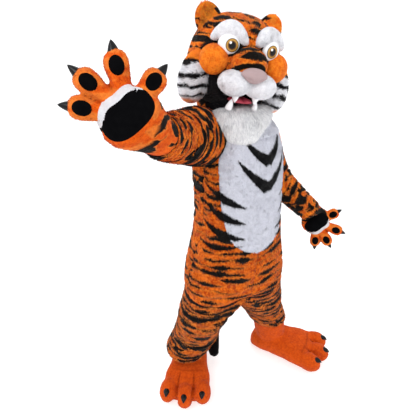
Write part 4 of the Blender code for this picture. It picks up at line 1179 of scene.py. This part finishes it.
for word, side in (("Right", -1), ("Left", 1)):
    low = word.lower()
    # white pad over the eye, bent round it
    def browShape(x, y, z):
        return x, y, z + 0.42 - 1.15 * (x * 0.92) ** 2

    centre, radii, turn = faceOvals["brow" + word]
    brow = pad("brow" + word, "brow_" + low, oval(centre, (0.062, 0.033, 0.031), turn, 56, 36, browShape),
               furs["white"], "white_fur")
    growPile(brow, f"brow{word}Pile", 11000, 0.0070, 24, 0.0016, awayFromNose, 90 + side,
             keep=clearOf("eye" + word, grow=0.001))
    pads.append((brow, 0.8))

    cheek = pad("cheek" + word, "cheek_" + low, oval(*faceOvals["cheek" + word], 56, 40),
                furs["cheek"], "orange_fur")
    growPile(cheek, f"cheek{word}Pile", 11000, 0.0052, 26, 0.0015, awayFromNose, 93 + side,
             keep=clearOf("lobe" + word, "eye" + word))
    pads.append((cheek, 0.9))

    def ruffBands(points):
        p = toHead(points)
        return p[:, 2] + 0.25 * (np.abs(p[:, 0]) - 0.15) + 0.006 * softNoise(points, 45, 13)

    def ruffDark(points):
        level = ruffBands(points)
        dark = np.zeros(len(points))
        for at, half in ((-0.016, 0.011), (-0.058, 0.009), (-0.094, 0.010), (-0.126, 0.006)):
            fade = half * (0.75 + 0.35 * softNoise(points, 26, 15))
            dark = np.maximum(dark, np.clip((fade - np.abs(level - at)) / 0.002 + 0.5, 0, 1))
        return dark

    def ruffWarm(points):
        level = ruffBands(points)
        return np.clip((level + 0.016) / 0.003, 0, 1) + np.clip(1 - np.abs(level + 0.148) / 0.014, 0, 1)

    centre, radii, turn = faceOvals["ruff" + word]
    numbers = (("dark", ruffDark), ("warm", ruffWarm))
    ruff = pad("ruff" + word, "ruff_" + low, oval(centre, radii, turn, 64, 56),
               furs["ruff"], "white_fur", numbers=numbers)
    growPile(ruff, f"ruff{word}Pile", 22000, 0.0140, 26, 0.0022, awayFromNose, 96 + side, numbers,
             keep=clearOf("cheek" + word, "lobe" + word))
    pads.append((ruff, 0.7))

    # ear: a pad with a cup in front
    centre, radii, turn = faceOvals["ear" + word]

    def earShape(x, y, z):
        cup = np.exp(-(np.hypot(x / 0.62, (z - 0.15) / 0.66)) ** 4)
        return x, y + np.where(y < 0, 0.80 * cup, 0), z

    ear = pad("ear" + word, "ear_" + low, oval(centre, radii, turn, 64, 48, earShape), furs["ear"],
              "orange_fur")

    def earDark(points, centre=centre, turn=turn, radii=radii):
        local = (toHead(points) - np.array(centre)) @ turn / np.array(radii)
        edge = 0.35 * softNoise(points, 55, 19)
        rim = np.hypot(local[:, 0], local[:, 2]) > 0.72
        band = rim & (np.abs(local[:, 2] - 0.20 + edge) < 0.15)
        return band.astype(float)

    setNumber(ear.data, "dark", earDark(worldPoints(ear)))
    growPile(ear, f"ear{word}Pile", 11000, 0.0070, 24, 0.0018,
             lambda root, normal: np.tile(headTurn @ np.array((0, 0.1, 1.0)), (len(root), 1)), 99 + side,
             (("dark", earDark),))
    pads.append((ear, 0.6))
print("face")

# beard: long fur over the chin
def beardShape(x, y, z):
    return x * (1 + 0.22 * np.clip(z, -0.4, 1)), y, z + 0.42 * x * x - 0.16


beardOval = ((0.026, -0.132, -0.202), (0.104, 0.050, 0.072), tilt(x=-8, y=-10))
beard = pad("beardPad", "beard", oval(*beardOval, 64, 44, beardShape), furs["beard"], "white_fur",
            depth=lambda p: np.maximum(skullDepth(p), trunkDepth(toWorld(p))), cut=0.006)


def beardFlow(root, normal):
    # down and outwards from under the mouth
    way = root - toWorld((0.01, -0.10, -0.08))
    return unit(way) + np.array((0.0, -0.25, -0.8))


growPile(beard, "beardPile", 26000, 0.036, 26, 0.0034, beardFlow, 110, curl=0.9, ruffle=34.0)
pads.append((beard, 0.6))

# neck collar: a fur skirt from the head to the shoulders
rowsCount, colsCount = 26, 110
around = np.linspace(0, 2 * np.pi, colsCount, endpoint=False)
top = toWorld(np.stack([0.112 * np.cos(around), 0.108 * np.sin(around),
                        np.full(colsCount, -0.1524)], axis=-1))
low = np.stack([0.014 + 0.158 * np.cos(around - 0.17), 0.022 + 0.142 * np.sin(around - 0.17),
                np.full(colsCount, 1.322)], axis=-1)
share = np.linspace(0, 1, rowsCount)[:, None, None]
grid = top[None] * (1 - share) + low[None] * share
middle = grid.mean(axis=1, keepdims=True)
grid = grid + unit(grid - middle) * 0.004 * np.sin(np.pi * share ** 0.8)
u = np.linspace(0, 0.95, colsCount + 1)[None].repeat(rowsCount, 0)
v = 1.42 - 0.11 * np.linspace(0, 1, rowsCount)[:, None].repeat(colsCount + 1, 1)
flat = grid.reshape(-1, 3)
drop = trunkDepth(flat) > 0.012
for table in sleeveTables.values():
    drop |= tubeDepth(flat, table) > 0.014
collar = gridSkin("neckCollar", grid, u, v, "tiger_fur", True, drop.reshape(grid.shape[:2]), flip=True)


def collarPale(points):
    # white below the beard, between the orange shoulders
    way = np.degrees(np.arctan2(points[:, 0] - 0.014, -(points[:, 1] - 0.022))) - 17
    return np.clip((78 + 6 * softNoise(points, 40, 71) - np.abs(way)) / 4, 0, 1)


def collarJawBlackAndShade(points):
    # the black of the jaw goes on over the collar's top, partly the jaw's black cloth and partly painted
    # shade under the head
    front = points[:, 1] < 0.02 + 0.01 * softNoise(points, 40, 73)
    return (front & (points[:, 2] > 1.372 + 0.006 * softNoise(points, 50, 75))).astype(float)


collarNumbers = (("pale", collarPale), ("plain", collarPale), ("dark", collarJawBlackAndShade))
finishSkin(collar, furs["collar"], collarNumbers)
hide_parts("neck_collar")


def neckCentre(points):
    return points * (0, 0, 1) + (0.01, 0.03, 0)


collarPile = growPile(collar, "neckCollarPile", 15000, 0.011, 24, 0.0022, downward, 111, collarNumbers,
                      outer=outward(neckCentre))
sheets.append((collar, collarPile))
print("collar")

# gloves: the palm and fingers as one plump skin, open at the cuff
palmTable = [(-0.044, 0.072, 0.046), (-0.016, 0.084, 0.046), (0.014, 0.082, 0.043),
             (0.036, 0.062, 0.036), (0.052, 0.030, 0.022)]
fingerTable = [(0.010, 0.022), (0.045, 0.0235), (0.072, 0.0250), (0.094, 0.0275), (0.113, 0.0300),
               (0.129, 0.0295), (0.142, 0.0240), (0.150, 0.013)]
fingers = [("one", 44, 1.00), ("two", 5, 1.00), ("three", -27, 0.93), ("thumb", 94, 0.88)]
hands = {
    "right": ((-0.517, -0.336, 1.512), (-0.622, 0.588, 0.515), (-0.238, -0.945, 0.223),
              (0.679, 0.081, 0.728), 1.0),
    "left": ((0.452, -0.010, 0.810), (0.540, 0.070, -0.840), (-0.600, -0.750, 0.300),
             (0.500, 0.100, 0.600), 0.86),
}


def surfaceOf(made):
    co = worldPoints(made)
    made.data.calc_loop_triangles()
    tris = [tuple(t.vertices) for t in made.data.loop_triangles]
    return BVHTree.FromPolygons([Vector(p) for p in co], tris)


def layPad(name, node, tree, centre, first, second, out, crown, outline, material, slot, rings=14, sides=64):
    # a crowned pad whose edge sinks into the skin it lies on
    points = []
    for row in range(rings + 1):
        r = row / rings
        for col in range(sides):
            turn = 2 * math.pi * col / sides
            reach = outline(turn) * r
            spot = centre + first * reach * math.cos(turn) + second * reach * math.sin(turn)
            hit = tree.ray_cast(Vector(spot + out * 0.15), Vector(-out), 0.30)[0]
            base = np.array(hit) if hit is not None else spot
            rise = crown * (1 - r ** 4) ** 0.6 - 0.0012 * r ** 6
            points.append(base + out * rise)
    faces = gridFaces(rings + 1, sides, True)
    mesh = fillMesh(name, np.array(points), faces)

    def faceOut(opened):
        weld(opened)
        if sum(f.normal.dot(Vector(out)) * f.calc_area() for f in opened.faces) < 0:
            bmesh.ops.reverse_faces(opened, faces=opened.faces)

    reworked(mesh, faceOut)
    made = linked(name, mesh, slot)
    mesh.materials.append(material)
    if node:
        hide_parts(node)
    pads.append((made, 0.7))
    return made


def hooked(name, node, base, tip, radius, bend, material, slot, sides=24, rows=14):
    # a claw or fang: a cone along a bow, round at its tip
    base, tip = np.array(base, float), np.array(tip, float)
    middle = (base + tip) / 2 + bend
    t = np.linspace(0, 1, rows)[:, None]
    line = base * (1 - t) ** 2 + 2 * middle * t * (1 - t) + tip * t * t
    _, first, second = framesAlong(line)
    size = radius * (1 - t[:, 0] ** 1.5) ** 0.75
    size[-1] = radius * 0.03
    size[0] *= 0.92
    rings = [ringAt(line[i], first[i] * size[i], second[i] * size[i] * 0.9, sides) for i in range(rows)]
    points, faces = closedLoft(rings)
    mesh = fillMesh(name, points, faces)
    reworked(mesh, turnOut)
    made = linked(name, mesh, slot)
    mesh.materials.append(material)
    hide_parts(node)
    return made


for index, word in enumerate(("right", "left")):
    title = word.capitalize()
    palm, along, out, thumb, size = hands[word]
    palm, out = np.array(palm), unit(np.array(out))
    along = unit(np.array(along) - out * np.dot(along, out))
    across = np.cross(out, along)
    across = across if across.dot(thumb) > 0 else -across
    table = sleeveTables[word]
    hem = np.array(table[-1][:3])
    hemWay = unit(hem - np.array(table[-2][:3]))
    cuff = table[-1][3] - cloth - 0.0006
    side1 = unit(across - hemWay * across.dot(hemWay))
    side2 = np.cross(hemWay, side1)
    side2 = side2 if side2.dot(out) > 0 else -side2
    rings = [ringAt(hem + hemWay * reach, side1 * cuff, side2 * cuff, 40)
             for reach in (-0.030, -0.014, 0.002)]
    first = palm + along * palmTable[0][0] * size
    broad = unit(side1 + across) * 0.45 * (cuff + 0.080 * size)
    deep = unit(side2 + out) * 0.48 * (cuff + 0.046 * size)
    rings.append(ringAt((hem + first) / 2, broad, deep, 40))
    for place, a, b in palmTable:
        rings.append(ringAt(palm + along * place * size, across * a * size, out * b * size, 40, 0.8))
    solids = [closedLoft(rings)]
    ways = {}
    for name, angle, length in fingers:
        way = along * math.cos(math.radians(angle)) + across * math.sin(math.radians(angle))
        ways[name] = way
        wide = np.cross(out, way)
        solids.append(closedLoft([
            ringAt(palm + way * reach * length * size, wide * thick * size, out * thick * size * 0.88, 28)
            for reach, thick in fingerTable
        ]))
    glove = blended("glove" + title, solids, "orange_fur", 0.0042 * (0.9 if size < 1 else 1), 3)
    trimmed(glove, lambda p: (p - hem) @ hemWay < -0.013)
    # a crease runs down between each two neighbouring fingers
    co = worldPoints(glove)
    local = co - palm
    dent = np.zeros(len(co))
    angles = sorted(angle for _, angle, _ in fingers)
    flatWay = np.degrees(np.arctan2(local @ across, local @ along))
    reach = np.hypot(local @ across, local @ along)
    for low, high in zip(angles, angles[1:]):
        aside = np.radians(turnFrom(flatWay, (low + high) / 2)) * reach
        valley = np.exp(-(aside / (0.0050 * size)) ** 2)
        opens = np.clip((reach / size - 0.050) / 0.012, 0, 1)
        closes = np.clip((0.110 - reach / size) / 0.016, 0, 1)
        dent += 0.0040 * valley * opens * closes
    movePoints(glove, co - normalsOf(glove) * (dent + 0.0013 * softNoise(co, 34, 57))[:, None])
    positionUv(glove)
    thickened(glove)
    wrist = palm + along * palmTable[0][0] * size

    def pastWrist(points, hem=hem, wrist=wrist):
        # 1 on the plain hand, 0 on the striped cuff
        way = unit(wrist - hem)
        level = (points - hem) @ way / np.linalg.norm(wrist - hem)
        return np.clip((level - 0.90 + 0.16 * softNoise(points, 30, 61)) / 0.06, 0, 1)

    def between(points, palm=palm, along=along, across=across, angles=angles, size=size):
        # painted shade down the creases between the fingers, on the palm's side
        way = points - palm
        turned = np.degrees(np.arctan2(way @ across, way @ along))
        far = np.hypot(way @ across, way @ along)
        found = np.zeros(len(points))
        for low, high in zip(angles, angles[1:]):
            gap = np.radians(turnFrom(turned, (low + high) / 2)) * far / size
            line = np.exp(-(gap / 0.0026) ** 2) * np.clip((far / size - 0.062) / 0.010, 0, 1)
            found = np.maximum(found, line * np.clip((0.118 - far / size) / 0.012, 0, 1))
        return 0.75 * found

    gloveNumbers = (("plain", pastWrist), ("creaseShade", between))
    finishSkin(glove, furs["glove"], gloveNumbers)
    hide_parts("glove_" + word)
    skinTree = surfaceOf(glove)

    def fingerward(root, normal, hem=hem):
        return unit(root - hem)

    middle = palm - along * 0.010 * size - across * 0.004 * size
    wide = across * math.cos(0.24) - along * math.sin(0.24)
    tall = along * math.cos(0.24) + across * math.sin(0.24)
    middle = middle + tall * 0.013 * size

    def bare(points, palm=palm, out=out, middle=middle, wide=wide, tall=tall, ways=ways, size=size):
        # 1 where no pad lies
        way = points - middle
        x, y = way @ wide / (0.076 * size), (way @ tall - 0.005 * size) / (0.056 * size)
        covered = np.abs(x) ** 2.6 + np.abs(y) ** 2.6 < 0.99
        for name, angle, length in fingers:
            way = points - palm - ways[name] * 0.114 * length * size
            x, y = way @ np.cross(out, ways[name]) / (0.019 * size), way @ ways[name] / (0.024 * size)
            covered |= x * x + y * y < 0.95
        return ~(covered & ((points - palm) @ out > 0.01))

    pile = growPile(glove, f"glove{title}Pile", 34000 if word == "right" else 24000, 0.0060, 24, 0.0018,
                    fingerward, 120 + index, gloveNumbers, bare)
    sheets.append((glove, pile))

    def palmOutline(turn):
        # squarish, with three shallow scallops on the fingers' side
        c, s = math.cos(turn), math.sin(turn)
        square = (abs(c) ** 2.6 + abs(s) ** 2.6) ** (-1 / 2.6)
        scallop = 1 + 0.045 * max(s, 0) * math.cos(6.5 * turn)
        return square * scallop

    trim = layPad("palmTrim" + title, None, skinTree, middle + tall * 0.009 * size, wide * 0.071 * size,
                  tall * 0.049 * size, out, 0.0056, palmOutline, furs["white"], "white_fur")
    setNumber(trim.data, "shade", np.full(len(trim.data.vertices), 0.5))
    layPad("palmPad" + title, "palm_pad_" + word, skinTree, middle, wide * 0.074 * size,
           tall * 0.047 * size, out, 0.0072, palmOutline, blackFelt, "black_cloth")
    for name, angle, length in fingers:
        way = ways[name]
        side1 = np.cross(out, way)
        centre = palm + way * 0.114 * length * size
        layPad(f"fingerPad{name.capitalize()}{title}", f"finger_pad_{name}_{word}", skinTree, centre,
               side1 * 0.0190 * size, way * 0.0240 * size, out, 0.0042, lambda turn: 1.0, blackFelt,
               "black_cloth", 10, 40)
        reach = 0.149 * length * size
        hooked(f"claw{name.capitalize()}{title}", f"claw_{name}_{word}", palm + way * (reach - 0.011),
               palm + way * (reach + 0.025 * size) + out * 0.002, 0.0160 * size, -out * 0.003 * size,
               clawGloss, "claw")
print("gloves")

# feet: a plump foot with three toes, open above at the ankle
footTable = [
    (0.000, 0.034, 0.055), (0.016, 0.060, 0.092), (0.060, 0.080, 0.117), (0.130, 0.088, 0.125),
    (0.205, 0.098, 0.122), (0.265, 0.114, 0.116), (0.315, 0.116, 0.104), (0.350, 0.098, 0.086),
    (0.370, 0.066, 0.060),
]
toes = [("one", -0.081, 0.346), ("two", 0.000, 0.372), ("three", 0.084, 0.346)]
feet = {
    "right": ((-0.120, 0.246), (-0.328, -0.110), 0.146, 0.0770, 0.186, (-0.012, -0.006)),
    "left": ((0.212, 0.136), (0.466, -0.170), 0.108, 0.0800, 0.256, (-0.036, -0.002)),
}
for index, (word, (heel, toe, ankleAt, ankleRadius, ankleTop, lean)) in enumerate(feet.items()):
    title = word.capitalize()
    heel, toe = np.array((*heel, 0.0)), np.array((*toe, 0.0))
    along = unit(toe - heel)
    across = np.cross(along, (0, 0, 1))
    up = np.array((0.0, 0.0, 1.0))
    rings = []
    for reach, half, high in footTable:
        centre = heel + along * reach + up * high / 2
        rings.append(ringAt(centre, across * half, up * high / 2, 48, 0.7))
    solids = [closedLoft(rings)]
    ankle = [ringAt(heel + along * ankleAt + up * ankleTop * level + np.array((*lean, 0.0)) * level ** 2,
                    along * ankleRadius * share * 1.06, across * ankleRadius * share, 40)
             for level, share in ((0.29, 0.92), (0.58, 0.98), (0.80, 1.0), (1.0, 1.0))]
    solids.append(closedLoft(ankle))
    for name, offset, reach in toes:
        turn = np.arctan2(along[1], along[0]) - offset * 2.0
        first = np.array((math.cos(turn), math.sin(turn), 0.0))
        second = np.array((-math.sin(turn), math.cos(turn), 0.0))
        centre = heel + along * reach + across * offset + up * 0.057
        levels = np.linspace(0.04, math.pi - 0.04, 22)
        solids.append(closedLoft([
            ringAt(centre + up * 0.052 * math.cos(level), first * 0.064 * math.sin(level),
                   second * (0.048 if name == "two" else 0.045) * math.sin(level), 32)
            for level in levels
        ]))
    foot = blended("foot" + title, solids, "orange_fur", 0.0062, 5)
    co = worldPoints(foot)
    local = co - heel
    ahead, aside = local @ along, local @ across
    dent = np.zeros(len(co))
    start = 0.268 if word == "right" else 0.305
    for line in (-0.0405, 0.0405):
        bent = line * np.interp(ahead, (0.22, 0.36), (0.82, 1.0))
        cleft = 0.008 + 0.008 * np.clip((ahead - 0.32) / 0.06, 0, 1)
        dent += cleft * np.exp(-((aside - bent) / 0.0055) ** 2) * np.clip((ahead - start) / 0.04, 0, 1)
    knuckle = start + 0.020 + 0.02 * np.cos(aside / 0.08 * np.pi / 2)
    dent += 0.0035 * np.exp(-((ahead - knuckle) / 0.006) ** 2) * (np.abs(aside) < 0.085)
    dent *= np.clip((co[:, 2] - 0.020) / 0.02, 0, 1)
    normals = normalsOf(foot)
    co = co - normals * dent[:, None]
    co += normals * (0.0016 * softNoise(co, 30, 51 + index))[:, None] * (co[:, 2:3] > 0.012)
    co[:, 2] = np.maximum(co[:, 2], 0.0)
    movePoints(foot, co)
    trimmed(foot, lambda p: p[:, 2] > ankleTop - 0.004)
    positionUv(foot)
    thickened(foot)

    def toeCreaseShade(points, heel=heel, along=along, across=across, start=start):
        # painted shade down the creases between the toes and in an arc over the instep
        way = points - heel
        ahead, aside = way @ along, way @ across
        found = np.zeros(len(points))
        for line in (-0.0405, 0.0405):
            bent = line * np.interp(ahead, (0.22, 0.36), (0.72, 1.02))
            drawn = np.exp(-((aside - bent) / 0.0032) ** 2) * np.clip((ahead - start) / 0.03, 0, 1)
            found = np.maximum(found, drawn)
        arc = start - 0.004 + 0.012 * np.cos(aside / 0.08 * np.pi / 2)
        found = np.maximum(found, 0.6 * np.exp(-((ahead - arc) / 0.004) ** 2) * (np.abs(aside) < 0.080))
        return 0.8 * found * (points[:, 2] > 0.030)

    finishSkin(foot, furs["orange"], (("creaseShade", toeCreaseShade),))
    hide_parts("foot_" + word)
    skinTree = surfaceOf(foot)
    pile = growPile(foot, f"foot{title}Pile", 30000, 0.0060, 22, 0.0020,
                    lambda root, normal, along=along: np.tile(along + np.array((0, 0, -0.5)), (len(root), 1)),
                    130 + index, (("creaseShade", toeCreaseShade),), lambda p: p[:, 2] > 0.006)
    pads.append((foot, 0.7))
    for name, offset, reach in toes:
        base = heel + along * (reach + 0.030) + across * offset * 1.05 + up * 0.084
        tip = base + along * 0.036 - up * 0.002
        hooked(f"toeClaw{name.capitalize()}{title}", f"toe_claw_{name}_{word}", base, tip, 0.0175,
               up * 0.014, clawGloss, "claw")
print("feet")

# eyes
def eyeMaterial():
    made, tree, shader = startMaterial("paintedEye", 0.22, Specular_IOR_Level=0.18)
    gaze = number(tree, "gaze")
    place = makeNode(tree, "ShaderNodeTexCoord").outputs["Object"]
    fleck = noise(tree, place, 380.0, 3.0)

    def inside(limit, blur=0.0006):
        edge = maths(tree, "DIVIDE", maths(tree, "SUBTRACT", limit, gaze), blur)
        return makeNode(tree, "ShaderNodeClamp", Value=edge).outputs[0]

    colour = mixColour(tree, fleck, (0.80, 0.80, 0.82), (0.88, 0.88, 0.89))
    colour = mixColour(tree, inside(0.0218), colour, (0.030, 0.016, 0.008))
    gold = mixColour(tree, fleck, (0.30, 0.13, 0.025), (0.62, 0.36, 0.08))
    colour = mixColour(tree, inside(0.0196), colour, gold)
    brown = mixColour(tree, fleck, (0.055, 0.022, 0.008), (0.16, 0.07, 0.02))
    colour = mixColour(tree, inside(0.0150, 0.002), colour, brown)
    colour = mixColour(tree, inside(0.0108), colour, (0.004, 0.004, 0.005))
    colour = mixColour(tree, number(tree, "glint"), colour, (1.0, 1.0, 1.0))
    tree.links.new(colour, shader.inputs["Base Color"])
    return made


paintedEye = eyeMaterial()
for word, side in (("Right", -1), ("Left", 1)):
    centre, radii, turn = faceOvals["eye" + word]
    eye = pad("eye" + word, "eye_" + word.lower(), oval(centre, radii, turn, 96, 72), paintedEye, "eye")
    points = worldPoints(eye)
    local = (toHead(points) - np.array(centre)) @ turn
    look = unit(np.array((-side * 0.30 + 0.10, -1.0, -0.10))) * np.array(radii)
    gap = np.linalg.norm((local - look) * (1, 0.6, 1), axis=1)
    setNumber(eye.data, "gaze", gap)
    shine = look + np.array((-0.006, 0, 0.0075))
    glint = np.linalg.norm((local - shine) * (1, 0.0, 1), axis=1)
    setNumber(eye.data, "glint", np.clip((0.0042 - glint) / 0.0008, 0, 1) * (local[:, 1] < 0))
    # a dark lid line, broad above and thin below
    rows = 60
    around = np.linspace(0, 2 * np.pi, rows, endpoint=False)
    line = np.stack([radii[0] * 1.01 * np.cos(around), np.full(rows, 0.0035) - 0.004 * np.sin(around),
                     radii[2] * 1.01 * np.sin(around)], axis=-1)
    thick = 0.0024 + 0.0030 * np.clip(np.sin(around), 0, 1)
    line = toWorld(line @ turn.T + np.array(centre))
    ways = unit(np.roll(line, -1, 0) - np.roll(line, 1, 0))
    outs = unit(line - line.mean(axis=0))
    third = np.cross(ways, outs)
    rim = np.array([ringAt(line[i], outs[i] * thick[i], third[i] * thick[i], 12) for i in range(rows)])
    faces = gridFaces(rows + 1, 12, True) % (rows * 12)
    mesh = fillMesh("lid" + word, rim.reshape(-1, 3), faces)
    mesh.shade_smooth()
    linked("lid" + word, mesh, "black_cloth")
    mesh.materials.append(blackFelt)
print("eyes")

# mouth: lining, tongue and fangs
pad("mouthLining", "mouth_lining", oval(mouthCentre, mouthRadii - 0.0006, None, 64, 40), blackFelt,
    "black_cloth", keepFaces=lambda p: skullDepth(p) > -0.002, cut=9)
tongueGrid = oval(mouthCentre + np.array((0, 0.010, -0.026)), (0.044, 0.046, 0.011), None, 48, 30,
                  lambda x, y, z: (x, y, z - 0.5 * np.exp(-(x / 0.16) ** 2) * (z > 0) + 0.3 * (1 - x * x)))
tongue = pad("tonguePad", "tongue", tongueGrid, tongueCloth, "tongue_cloth", cut=9)
pads.append((tongue, 0.8))
for word, side in (("Right", -1), ("Left", 1)):
    low = word.lower()
    bow = headTurn @ np.array((0, -0.005, 0))
    hooked("fangUpper" + word, "fang_upper_" + low, toWorld((side * 0.038, -0.176, -0.086)),
           toWorld((side * 0.036, -0.180, -0.126)), 0.0165, bow, toothEnamel, "tooth")
    hooked("fangLower" + word, "fang_lower_" + low, toWorld((0.006 + side * 0.047, -0.146, -0.153)),
           toWorld((0.006 + side * 0.046, -0.160, -0.117)), 0.0140, bow, toothEnamel, "tooth")
print("mouth")

# zip flap down the back
rowsCount, colsCount = 150, 17
flyLow, flyHigh, flyHalf = 0.842, 1.298, 0.020
z = np.linspace(flyLow, flyHigh, rowsCount)[:, None].repeat(colsCount, 1)
share = np.linspace(-1, 1, colsCount)[None].repeat(rowsCount, 0)
half = np.degrees(flyHalf / atHeight(trunk, z[:, 0])[:, 2])[:, None]
flySpots = np.stack([share.ravel() * flyHalf, z.ravel(), 0 * z.ravel()], axis=-1)
lift = 0.0008 + 0.0030 * (1 - share ** 4) + 0.0006 * softNoise(flySpots, 40, 33).reshape(z.shape)
grid = trunkPoints(z.ravel(), (180 + share * half).ravel(), -lift.ravel()).reshape(*z.shape, 3)
fly = gridSkin("backFly", grid, share * flyHalf + 0.03, z, "orange_fur", False, None, thick=0.002)
finishSkin(fly, furs["orange"])
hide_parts("back_zip_fly")
flyPile = growPile(fly, "backFlyPile", 6000, 0.006, 20, 0.0018, downward, 140, outer=outward(trunkCentre))
sheets.append((fly, flyPile))
stitches = []
for line in (-0.72, 0.72):
    for height in np.arange(0.850, 1.292, 0.007):
        ends = trunkPoints(np.array([height, height + 0.004]),
                           180 + line * np.degrees(0.020 / atHeight(trunk, [height, height + 0.004])[:, 2]),
                           np.array([-0.0042, -0.0042]))
        way = unit(ends[1] - ends[0])
        first = unit(np.cross(way, (1.0, 0.1, 0)))
        second = np.cross(way, first)
        middle = (ends[0] + ends[1]) / 2 + unit(ends[0] - trunkCentre(ends[:1])[0]) * 0.0004
        thread = ((ends[0], 0.0004), (middle, 0.0006), (ends[1], 0.0004))
        stitches.append(closedLoft([ringAt(spot, first * wide, second * wide, 6) for spot, wide in thread]))
shift, allPoints, allFaces = 0, [], []
for points, faces in stitches:
    allPoints.append(points)
    allFaces.append(faces + shift)
    shift += len(points)
mesh = fillMesh("flyStitches", np.concatenate(allPoints), np.concatenate(allFaces))
linked("flyStitches", mesh, "black_cloth")
mesh.materials.append(blackFelt)
print("fly")

# floor, light and camera
floorMesh = bpy.data.meshes.new("floor")
floorHalf, floorLevel = 60.0, -1.341
corners = [(x * floorHalf, y * floorHalf, floorLevel) for x, y in ((-1, -1), (1, -1), (1, 1), (-1, 1))]
floorMesh.from_pydata(corners, [], [(0, 1, 2, 3)])
floor = placed("floor", floorMesh)
floorPaint, tree, shader = startMaterial("floorPaint", 0.9)
shader.inputs["Base Color"].default_value = (0.56, 0.56, 0.56, 1)
shader.inputs["Emission Color"].default_value = (1, 1, 1, 1)
shader.inputs["Emission Strength"].default_value = 0.62
floorMesh.materials.append(floorPaint)

world = bpy.data.worlds.new("studio")
bpy.context.scene.world = world
world.use_nodes = True
world.node_tree.nodes["Background"].inputs["Color"].default_value = (1, 1, 1, 1)
world.node_tree.nodes["Background"].inputs["Strength"].default_value = 1.15


def areaLight(name, place, aim, width, power):
    light = bpy.data.lights.new(name, "AREA")
    light.shape = "SQUARE"
    light.size = width
    light.energy = power
    made = placed(name, light)
    made.location = place
    made.rotation_euler = (Vector(aim) - Vector(place)).to_track_quat("-Z", "Y").to_euler()


areaLight("keyLight", (-2.6, -1.6, 2.6), (0, 0, -0.2), 1.4, 48)
areaLight("fillLight", (1.6, -3.0, 0.9), (0, 0, -0.4), 2.2, 8)
areaLight("backLight", (0.8, 2.6, 2.0), (0, 0, -0.2), 2.0, 18)

cameraData = bpy.data.cameras.new("camera")
camera = placed("camera", cameraData)
forward = Vector((0.38708, 0.80403, -0.45135))
rightWay = Vector((0.89939, -0.43708, -0.00730))
upWay = Vector((0.20314, 0.40311, 0.89232))
turned = Matrix((rightWay, upWay, -forward)).transposed().to_4x4()
camera.matrix_world = Matrix.Translation((-0.76283, -1.28244, 0.38961)) @ turned
cameraData.lens = 33.06
cameraData.sensor_width = 36
cameraData.clip_end = 60
bpy.context.scene.camera = camera
bpy.context.scene.view_settings.view_transform = "Standard"

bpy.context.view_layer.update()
# how each sheet was cut: width, length and flat area
cuts = {
    "suitFrontRight": (0.33, 0.80, 0.146), "suitFrontLeft": (0.33, 0.80, 0.140),
    "suitBelly": (0.48, 0.54, 0.198), "suitBackRight": (0.34, 0.80, 0.225),
    "suitBackLeft": (0.34, 0.80, 0.220), "sleeveRight": (0.55, 0.55, 0.268),
    "sleeveLeft": (0.46, 0.56, 0.200), "legRight": (0.82, 0.56, 0.380),
    "legLeft": (0.78, 0.50, 0.312), "headShell": (0.98, 0.42, 0.320),
    "neckCollar": (0.98, 0.14, 0.105), "gloveRight": (0.34, 0.42, 0.124),
    "gloveLeft": (0.29, 0.36, 0.088), "backFly": (0.044, 0.46, 0.0197),
}
for skin, pile in sheets:
    width, length, area = cuts[skin.name]
